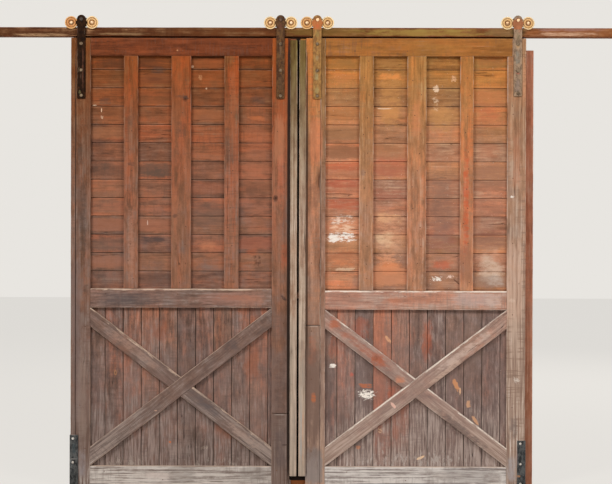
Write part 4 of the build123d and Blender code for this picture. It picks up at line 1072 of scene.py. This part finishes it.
def makeLowerBoards(side):
    node, how = side + "_lower_boards", panelBoards[side]
    low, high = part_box(node)
    seed, *tones = how["lower"]
    sign = -1 if side == "left" else 1
    draw = random.Random(seed)
    meeting = abs(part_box(side + "_inner_stile")[0 if sign > 0 else 1].x)
    low.x -= how["lap"]
    start, end = sorted((low.x * sign, high.x * sign))
    places = [start, *jointPlaces(meeting, end, how["firstJoint"], panelBoards["lowerPitch"])[1:]]
    gap = panelBoards["jointGap"] / 2
    planks = []
    for number, (first, second) in enumerate(zip(places, places[1:])):
        left, right = sorted((first * sign, second * sign))
        corners = (left + gap, low.y, low.z), (right - gap, high.y, high.z)
        planks.append(plankBetween(*corners, seed + number, True, tone=draw.uniform(*tones),
                                   bareness=draw.uniform(0.0, 0.35), arris=panelBoards["veeSide"],
                                   wear=panelBoards["lowerWear"]))
        if number:
            place = (first * sign, (low.y + high.y) / 2, (low.z + high.z) / 2)
            planks.append(makeTongue(*place, high.z - low.z, True))
    boards = finishTimber(node, planks, side + "LowerBoardWood")
    tuckBoards(boards, side, frameParts, True)


makeUpperBoards("left")
makeUpperBoards("right")
makeLowerBoards("left")
makeLowerBoards("right")
print("panel boards made")


# Steel: black or rusty straps, two of them with painted light, dull bolts and bright bolt ends
def agedSteel(name, look, marks):
    paint = Paint(name)
    ramp = paint.ramp
    cloud = paint.noise(paint.place, (26, 26, 17), 5.0, 0.65)
    patch = paint.noise(paint.place, (70, 70, 38), 4.0, 0.68)
    speck = paint.noise(paint.place, (230, 230, 230), 3.0, 0.6)
    rust = ramp(cloud * 0.6 + patch * 0.4 + (speck - 0.5) * 0.35 + look["rust"], 0.6, 0.74)
    paint.colour = paint.mix(ramp(patch + (speck - 0.5) * 0.6, 0.38, 0.64), look["dark"], look["steel"])
    paint.coat(rust * look["rustAmount"], paint.mix(speck, look["rustDark"], look["rustBright"]))
    if "dust" in look:
        paint.coat(ramp(patch, 0.42, 0.6) * look["dustAmount"], look["dust"])
    paint.layMarks(marks)
    roughness = (look["roughness"] + rust * 0.3 + (speck - 0.5) * 0.2).held()
    metallic = (look["metallic"] - rust * 0.6).held()
    return paint.finish(roughness, cloud * 0.6 + speck * 0.6 + rust * 0.4, 0.0007, metallic, look["gloss"])


baseSteel = {
    "dark": (38, 32, 28), "steel": (74, 62, 52), "rustDark": (82, 46, 28), "rustBright": (150, 88, 50),
    "rust": 0.0, "rustAmount": 1.0, "roughness": 0.55, "metallic": 0.35, "gloss": 0.4,
}
# a painted highlight on the pivot pins' heads
pinHeadHighlight = (252, 216, 172)
steelLooks = {
    "blackStrapSteel": {
        "dark": (27, 14, 7), "steel": (50, 29, 14), "rust": -0.02, "rustAmount": 0.6, "roughness": 0.75,
        "metallic": 0.0, "gloss": 0.08,
    },
    "brownStrapSteel": {
        "dark": (64, 38, 20), "steel": (98, 64, 36), "rust": 0.02, "rustAmount": 0.5, "roughness": 0.7,
        "metallic": 0.0, "gloss": 0.2, "dust": (106, 79, 48), "dustAmount": 0.45,
    },
    "rustyHazeLitStrapSteel": {
        "dark": (128, 88, 44), "steel": (166, 117, 58), "rustDark": (156, 92, 52), "rustBright": (196, 120, 70),
        "rust": -0.04, "rustAmount": 0.7, "roughness": 0.7, "metallic": 0.1, "dust": (166, 128, 70),
        "dustAmount": 0.5,
    },
    "greyReflectionStrapSteel": {
        "dark": (114, 92, 72), "steel": (158, 130, 106), "rustDark": (128, 78, 48),
        "rustBright": (176, 112, 72), "rust": -0.05, "rustAmount": 0.6, "roughness": 0.7, "metallic": 0.1,
        "dust": (174, 146, 120), "dustAmount": 0.5,
    },
    "blueBlackSteel": {
        "dark": (30, 32, 34), "steel": (76, 78, 80), "rust": -0.08, "rustAmount": 0.7, "roughness": 0.42,
        "metallic": 0.3, "dust": (96, 96, 94), "dustAmount": 0.4,
    },
    "dullBoltSteel": {
        "dark": (84, 64, 46), "steel": (136, 116, 92), "rustAmount": 0.6,
    },
    "wornScrewSteel": {
        "dark": (170, 162, 154), "steel": (240, 236, 230), "rust": -0.14, "roughness": 0.35, "metallic": 0.4,
    },
    "rustyNailSteel": {
        "dark": (84, 54, 38), "steel": (122, 84, 60), "rustDark": (96, 58, 38), "rustBright": (150, 94, 62),
    },
    "wornZinc": {
        "dark": (214, 172, 128), "steel": (255, 226, 190), "rustDark": (150, 100, 62),
        "rustBright": (206, 156, 108), "rust": -0.14, "roughness": 0.35, "metallic": 0.3,
    },
    "brownWasherSteel": {
        "dark": (150, 98, 48), "steel": (208, 156, 94), "rustDark": (146, 92, 44), "rustBright": (196, 136, 76),
        "metallic": 0.0,
    },
    "forgedSteel": {
    },
}
steelMarks = {
    "blackStrapSteel": [
        # the pale lines along the strap's edges and the pale spots by its bolts are worn paint with painted
        # highlights
        (82.6, 70, 2.2, 62, (104, 66, 52), 0.7, (120, 60)), (77.2, 68, 1.0, 66, (132, 108, 92), 0.5, (60, 60)),
        (77.3, 30, 1.0, 14, (104, 74, 66), 0.6, (60, 60)), (84.2, 32, 1.0, 9, (98, 88, 76), 0.6, (60, 60)),
        (79.4, 44, 3, 6, (112, 94, 62), 0.85, (120, 90)), (78.8, 70, 2.0, 9, (124, 108, 84), 0.8, (120, 60)),
        (80.6, 76, 1.2, 9, (112, 90, 78), 0.7, (120, 60)), (79.6, 93, 3.4, 8, (100, 92, 62), 0.8, (120, 90)),
    ],
    "brownStrapSteel": [
        (279.5, 27, 7, 10, (98, 56, 42), 0.7, (60, 60)), (284.6, 70, 1.2, 60, (132, 66, 44), 0.7, (60, 60)),
        (280, 50, 3, 22, (126, 100, 78), 0.5, (120, 40)), (280, 84, 5, 20, (84, 62, 46), 0.5, (60, 40)),
    ],
    "rustyHazeLitStrapSteel": [
        mark(317, 24.5, 15, 13, (180, 104, 52), 0.9, 1.2, 0.8, (60, 60), 0.2),
        (317, 26, 7, 7, (188, 92, 46), 0.8, (90, 90)), (317, 34, 7, 10, (140, 118, 66), 0.7),
        (316.5, 58, 5, 9, (152, 134, 98), 0.6), (316, 75, 6, 14, (158, 146, 104), 0.7),
        (316.4, 90, 7, 12, (164, 146, 96), 0.7),
    ],
    "greyReflectionStrapSteel": [
        mark(517.5, 24, 15, 13, (156, 92, 52), 0.9, 1.2, 0.8, (60, 60), 0.2),
        (518, 27, 8, 6, (176, 108, 68), 0.8, (90, 90)), (519, 31, 6, 5, (180, 130, 102), 0.7, (90, 90)),
        (517, 37, 7, 12, (128, 112, 84), 0.7, (120, 40)), (517.5, 46, 6, 7, (186, 146, 100), 0.8, (90, 60)),
        (517, 58, 7, 20, (136, 130, 118), 0.75, (90, 40)), (517, 73, 6, 3, (160, 84, 66), 0.8, (90, 90)),
        (516.6, 86, 7, 20, (138, 118, 108), 0.7, (120, 30)), (517, 99, 8, 5, (190, 170, 156), 0.6, (120, 60)),
    ],
    "blueBlackSteel": [
        # the pale lines at 435.4, 459.6 and 439.6 are painted highlights along the plates' upper edges
        mark(73.6, 435.4, 8, 1.0, (196, 192, 190), 0.8, 1.2, 1.0, (60, 60)),
        mark(73.6, 459.6, 8, 0.9, (150, 146, 142), 0.7, 1.2, 1.0, (60, 60)),
        (74, 449, 6, 16, (60, 72, 76), 0.6, (60, 60)), (519, 475.5, 8, 3.4, (170, 122, 86), 0.85, (60, 90)),
        (517.6, 455, 2.4, 30, (112, 88, 96), 0.6, (90, 40)),
        mark(520.6, 439.6, 8, 0.9, (176, 168, 164), 0.6, 1.0, 1.4, (60, 60)),
    ],
    "forgedSteel": [
        mark(317.2, 20, 7, 7, (164, 100, 52), 0.8, 3.0, 0.3),
        mark(517.4, 20.2, 7, 7, (156, 92, 52), 0.8, 3.0, 0.3),
        mark(317.2, 20, 3.2, 3.2, pinHeadHighlight, 0.95, 3.0, 0.3),
        mark(517.4, 20.2, 3.2, 3.2, pinHeadHighlight, 0.95, 3.0, 0.3), (80.6, 20.4, 5, 5, (74, 60, 54), 0.8),
        (279.8, 20.4, 5, 5, (120, 84, 64), 0.7),
    ],
}
steel = {}
for name, look in steelLooks.items():
    steel[name] = agedSteel(name, makeLook(baseSteel, look), steelMarks.get(name, ()))


def easeArrises(piece, width, angle=24):
    bevel = piece.modifiers.new("easedArrises", "BEVEL")
    bevel.width, bevel.segments = width, 2
    bevel.limit_method, bevel.angle_limit = "ANGLE", math.radians(angle)
    applyAll(piece)


# The straps and plates are the CAD solids with their arrises eased
# The four hangers are one steel: the right inner one's olive tan is a painted haze of light over some rust, and
# the right outer one's grey a painted reflection
strapSteel = {
    "left_outer": "blackStrapSteel", "left_inner": "brownStrapSteel",
    "right_inner": "rustyHazeLitStrapSteel", "right_outer": "greyReflectionStrapSteel",
}
strapShape = {"merge": 0.00001, "flat": 2, "corner": 40, "hangerEase": 0.0009, "plateEase": 0.0006}


def easedSteel(node, finish, ease=strapShape["plateEase"]):
    piece = link(bpy.data.objects.new(node + "Steel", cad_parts[node].data.copy()))
    selectOnly(piece)
    bpy.ops.object.mode_set(mode="EDIT")
    bpy.ops.mesh.select_all(action="SELECT")
    bpy.ops.mesh.remove_doubles(threshold=strapShape["merge"])
    bpy.ops.mesh.dissolve_limited(angle_limit=math.radians(strapShape["flat"]))
    bpy.ops.object.mode_set(mode="OBJECT")
    easeArrises(piece, ease, strapShape["corner"])
    finishPiece(node + "Steel", [piece], steel[finish], leafOf(node), [node])


for place, finish in strapSteel.items():
    easedSteel(place + "_hanger", finish, strapShape["hangerEase"])
    easedSteel(place + "_bogie", "forgedSteel")
for side in ("left", "right"):
    easedSteel(side + "_corner_strap", "blueBlackSteel")
    paintPiece(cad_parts[side + "_hanger_bolts"], steel["dullBoltSteel"])
    paintPiece(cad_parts[side + "_corner_screws"], steel["wornScrewSteel"])
print("straps finished")

# Wheels: a flanged nylon wheel turned with rings in its face, on a bolt with a washer and a round head
wheelShape = {
    "flange": (0.029, 0.005), "sides": 64, "ease": 0.0007,
    "treadInset": 0.0085, "treadStep": 0.0002, "treadLength": 0.0245, "bore": 0.0052,
    "rings": ((0.0052, 0.0), (0.0005, -0.0014), (0.0014, 0.0), (0.0005, 0.0012), (0.0090, 0.0),
              (0.0008, -0.0022), (0.0064, 0.0)),  # insets of the face, and how far each goes in or out
    "recess": 0.0024,
    "darkening": {"left": (0.1, 0.25, 0.3, 1.2), "right": (0.8, 0.1, 0.1, 0.3)},  # how much each wheel is darkened
}
boltShape = {  # radius, height and sides of each part, and how far its arrises are eased
    "washer": (0.0095, 0.0015, 32, 0.0003),
    "head": (0.0063, 0.0022, 32), "dome": ((0.0008, 0.0009), (0.0012, 0.0007), (0.0016, 0.0004)),
    "nut": (0.009, 0.004, 6, 0.0005),
    "shaft": (0.0049, 24, 0.0006), "shaftEnd": 0.003, "overlap": 0.0005,
}
copyTurns = {"wheel": 1.1, "bolt": 0.7}  # radians from one wheel to the next


def selectFaces(piece, test):
    mesh = bmesh.from_edit_mesh(piece.data)
    for face in mesh.faces:
        face.select_set(False)
    for face in mesh.faces:
        if test(face.calc_center_median(), face.normal):
            face.select_set(True)
    bpy.context.tool_settings.mesh_select_mode = (False, False, True)
    bmesh.update_edit_mesh(piece.data)


def insetFront(piece, steps):  # the front face goes in by each step's width and out by its depth
    selectFaces(piece, lambda middle, normal: normal.y < -0.9)
    for width, depth in steps:
        bpy.ops.mesh.inset(thickness=width, depth=depth)


def addDisc(radius, depth, front, sides):  # a disc on the axle's line, its front at the given Y
    selectOnly()
    bpy.ops.mesh.primitive_cylinder_add(vertices=sides, radius=radius, depth=depth,
                                        location=(0, front + depth / 2, 0), rotation=(math.pi / 2, 0, 0))
    disc = bpy.context.object
    bpy.ops.object.transform_apply(location=True, rotation=True, scale=True)
    return disc


def turnWheel(front):
    radius, thick = wheelShape["flange"]
    inset, step, bore = wheelShape["treadInset"], wheelShape["treadStep"], wheelShape["bore"]
    wheel = addDisc(radius, thick, front, wheelShape["sides"])
    bpy.ops.object.mode_set(mode="EDIT")
    insetFront(wheel, wheelShape["rings"])
    selectFaces(wheel, lambda middle, normal: normal.y > 0.9 and middle.y > front + thick * 0.9)
    bpy.ops.mesh.inset(thickness=inset, depth=0)
    bpy.ops.mesh.inset(thickness=step, depth=wheelShape["treadLength"])
    bpy.ops.mesh.inset(thickness=radius - inset - step - bore, depth=0)
    mesh = bmesh.from_edit_mesh(wheel.data)  # the two end faces inside the bore are bridged
    for face in mesh.faces:
        reach = max(math.hypot(corner.co.x, corner.co.z) for corner in face.verts)
        face.select_set(len(face.verts) > 8 and reach < bore * 1.02)
    bmesh.update_edit_mesh(wheel.data)
    bpy.ops.mesh.bridge_edge_loops()
    bpy.ops.object.mode_set(mode="OBJECT")
    easeArrises(wheel, wheelShape["ease"])
    x, _, z = readPlaces(wheel).T
    keepOnPoints(wheel, "reach", np.hypot(x, z) / radius)
    return wheel


def makeBolt(recess, back):  # head, washer, shaft and nut; the washer lies on the wheel's recess
    radius, washerThick, sides, ease = boltShape["washer"]
    washer = addDisc(radius, washerThick, recess - washerThick, sides)
    easeArrises(washer, ease)
    radius, height, sides = boltShape["head"]
    head = addDisc(radius, height, recess - washerThick - height, sides)
    bpy.ops.object.mode_set(mode="EDIT")
    insetFront(head, boltShape["dome"])
    bpy.ops.object.mode_set(mode="OBJECT")
    radius, nutThick, sides, ease = boltShape["nut"]
    nut = addDisc(radius, nutThick, back, sides)
    easeArrises(nut, ease)
    radius, sides, ease = boltShape["shaft"]
    overlap, shaftBack = boltShape["overlap"], back + nutThick + boltShape["shaftEnd"]
    shaft = addDisc(radius, shaftBack - recess + overlap, recess - overlap, sides)
    easeArrises(shaft, ease)
    parts = [washer, head, shaft, nut]
    for part, finish in zip(parts, ("brownWasherSteel", "wornZinc", "wornZinc", "dullBoltSteel")):
        paintPiece(part, steel[finish])
    return joinPieces("axleBolt", parts)


def creamNylon():
    paint = Paint("creamNylon")
    ramp, coat = paint.ramp, paint.coat
    reach = paint.attribute("reach", "Fac")
    cloud = paint.noise(paint.place, (46, 46, 46), 4.0, 0.6)
    speck = paint.noise(paint.place, (320, 320, 320), 3.0, 0.6)
    pale = ramp(cloud, 0.35, 0.65)
    paint.colour = paint.mix(pale, tint(216, 168, 102), tint(240, 200, 138))
    coat(ramp(reach, 0.8, 0.85), paint.mix(pale, tint(244, 208, 148), tint(255, 238, 194)))  # the rim
    coat(ramp((reach - 0.755).size(), 0.06, 0.03) * 0.85, tint(126, 80, 34))  # the groove: grime, with painted shade in it
    coat(ramp(reach, 0.46, 0.42), tint(112, 66, 26))  # the recess round the washer: painted shade
    coat(paint.attribute("darkened", "Fac") * (0.5 + pale * 0.5), tint(222, 176, 124), "MULTIPLY")
    coat(ramp(speck + cloud * 0.4, 0.72, 0.86) * 0.7, tint(120, 76, 40))
    return paint.finish(0.42 + (speck * 0.15).held(), cloud + speck * 0.3, 0.0003)


def copyPiece(model, place):  # a copy with its own mesh, moved there
    copy = model.copy()
    copy.data = model.data.copy()
    copy.data.transform(place)
    return link(copy)


nylon = creamNylon()
for side in ("left", "right"):
    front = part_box(side + "_wheel_1")[0].y
    wheelModel = turnWheel(front)
    boltModel = makeBolt(front + wheelShape["recess"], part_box(side + "_inner_bogie")[1].y)
    bolts = []
    for number, darkening in enumerate(wheelShape["darkening"][side], 1):
        node = f"{side}_wheel_{number}"
        low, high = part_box(node)
        centre = (low + high) / 2
        move = Matrix.Translation((centre.x, 0, centre.z))
        wheel = copyPiece(wheelModel, move @ Matrix.Rotation(number * copyTurns["wheel"], 4, "Y"))
        bolts.append(copyPiece(boltModel, move @ Matrix.Rotation(number * copyTurns["bolt"], 4, "Y")))
        keepOnPoints(wheel, "darkened", np.full(len(wheel.data.vertices), darkening))
        finishPiece(node + "Nylon", [wheel], nylon, node, [node])
    bpy.data.objects.remove(wheelModel)
    bpy.data.objects.remove(boltModel)
    finishPiece(side + "AxleBolts", bolts, None, side + "_leaf", [side + "_axle_bolts"], 40)
print("wheels and axle bolts made")

# Nails, one where a batten crosses a board and a row along each rail and stile
nails = {
    "radius": 0.0024, "depth": 0.004, "proud": 0.0005, "sides": 10, "dome": ((0.0009, 0.0004),),
    "railPitch": 0.29, "railStart": 0.09, "railSpread": 0.05, "railRows": (0.28, 0.72),
    "stilePitch": 0.31, "stileStart": 0.12, "stileSpread": 0.07, "stileRows": (0.3, 0.66),
    "boardSpread": 0.012, "fromEnd": 0.02,
    "seeds": {"left": 501, "right": 502},
}


def nailPlaces(side, draw):
    places = []
    low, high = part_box(side + "_upper_boards")
    drops = jointPlaces(0, high.z - low.z, panelBoards["topBoard"], panelBoards["pitch"])
    for part in battenParts:
        start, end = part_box(f"{side}_{part}")
        for first, second in zip(drops, drops[1:]):
            z = high.z - (first + second) / 2 + draw.uniform(-nails["boardSpread"], nails["boardSpread"])
            x = start.x + (end.x - start.x) * draw.uniform(0.25, 0.75)
            if start.z + nails["fromEnd"] < z < end.z - nails["fromEnd"]:
                places.append((x, start.y, z))
    for part in ("top_rail", "mid_rail", "bottom_rail"):
        start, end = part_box(f"{side}_{part}")
        pitch, spread = nails["railPitch"], nails["railSpread"]
        for number in range(int((end.x - start.x) / pitch)):
            x = start.x + nails["railStart"] + number * pitch + draw.uniform(-spread, spread)
            places.append((x, start.y, start.z + (end.z - start.z) * draw.choice(nails["railRows"])))
    for part in ("outer_stile", "inner_stile"):
        start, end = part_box(f"{side}_{part}")
        pitch, spread = nails["stilePitch"], nails["stileSpread"]
        for number in range(int((end.z - start.z) / pitch)):
            z = start.z + nails["stileStart"] + number * pitch + draw.uniform(-spread, spread)
            places.append((start.x + (end.x - start.x) * draw.choice(nails["stileRows"]), start.y, z))
    return places


for side, seed in nails["seeds"].items():
    model = addDisc(nails["radius"], nails["depth"], -nails["proud"], nails["sides"])
    bpy.ops.object.mode_set(mode="EDIT")
    insetFront(model, nails["dome"])
    bpy.ops.object.mode_set(mode="OBJECT")
    driven = [copyPiece(model, Matrix.Translation(place)) for place in nailPlaces(side, random.Random(seed))]
    bpy.data.objects.remove(model)
    finishPiece(side + "Nails", driven, steel["rustyNailSteel"], side + "_leaf", [])
print("nails driven")

for how in plankWear.values():
    bpy.data.objects.remove(how["guide"])

# Studio: a pale floor, soft lamps and a pale surround
studio = {
    "floorSize": 40, "floorDrop": 0.001, "floor": tint(226, 222, 216), "floorGlow": 0.85,
    "surround": tint(232, 229, 224), "worldLevel": 0.26, "worldColour": (1.0, 0.98, 0.95, 1.0),
}
lamps = {  # place, aim, size, watts and colour
    "leftLamp": ((-3.3, -5.0, 3.0), (-0.3, 0, -1.0), 1.8, 244, (1.0, 0.965, 0.92)),
    "rightLamp": ((3.3, -5.0, 3.0), (0.3, 0, -1.0), 1.8, 168, (1.0, 0.97, 0.93)),
    "backLamp": ((2.6, 5.6, 2.6), (0, 0, -1.0), 4.0, 230, (1.0, 0.97, 0.93)),
}
selectOnly()
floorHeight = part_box("jamb_left")[0].z - studio["floorDrop"]
bpy.ops.mesh.primitive_plane_add(size=studio["floorSize"], location=(0, 0, floorHeight))
floor = bpy.context.object
floor.name = "studioFloor"
floorPaint = Paint("studioFloorPaint", studio["floor"])
floor.data.materials.append(floorPaint.finish(0.9))
glow = floorPaint.node("ShaderNodeEmission", {}, {"Color": studio["surround"], "Strength": 1.0})
fromCamera = floorPaint.node("ShaderNodeLightPath", {}, (), "Is Camera Ray")
lit = Wire(floorPaint, floorPaint.shader.outputs[0])
blend = floorPaint.node("ShaderNodeMixShader", {}, (fromCamera * studio["floorGlow"], lit, glow))
floorPaint.feed(floorPaint.tree.nodes["Material Output"].inputs["Surface"], blend)

world = bpy.data.worlds.new("studioWorld")
bpy.context.scene.world = world
world.use_nodes = True
tree = world.node_tree
background, seen, path, either, swap = tree.nodes["Background"], *(
    tree.nodes.new("ShaderNode" + kind) for kind in ("Background", "LightPath", "Math", "MixShader"))
background.inputs["Color"].default_value = studio["worldColour"]
background.inputs["Strength"].default_value = studio["worldLevel"]
seen.inputs["Color"].default_value = studio["surround"]
either.operation = "MAXIMUM"
for start, end in (
    (path.outputs["Is Camera Ray"], either.inputs[0]), (path.outputs["Is Glossy Ray"], either.inputs[1]),
    (either.outputs[0], swap.inputs[0]), (background.outputs[0], swap.inputs[1]),
    (seen.outputs[0], swap.inputs[2]), (swap.outputs[0], tree.nodes["World Output"].inputs[0]),
):
    tree.links.new(start, end)

for name, (place, aim, size, watts, colour) in lamps.items():
    data = bpy.data.lights.new(name, "AREA")
    data.shape, data.size, data.energy, data.color = "SQUARE", size, watts, colour
    lamp = link(bpy.data.objects.new(name, data))
    lamp.location = place
    lamp.rotation_euler = (Vector(aim) - Vector(place)).to_track_quat("-Z", "Y").to_euler()
bpy.context.scene.view_settings.view_transform = "Standard"
print("studio lit")
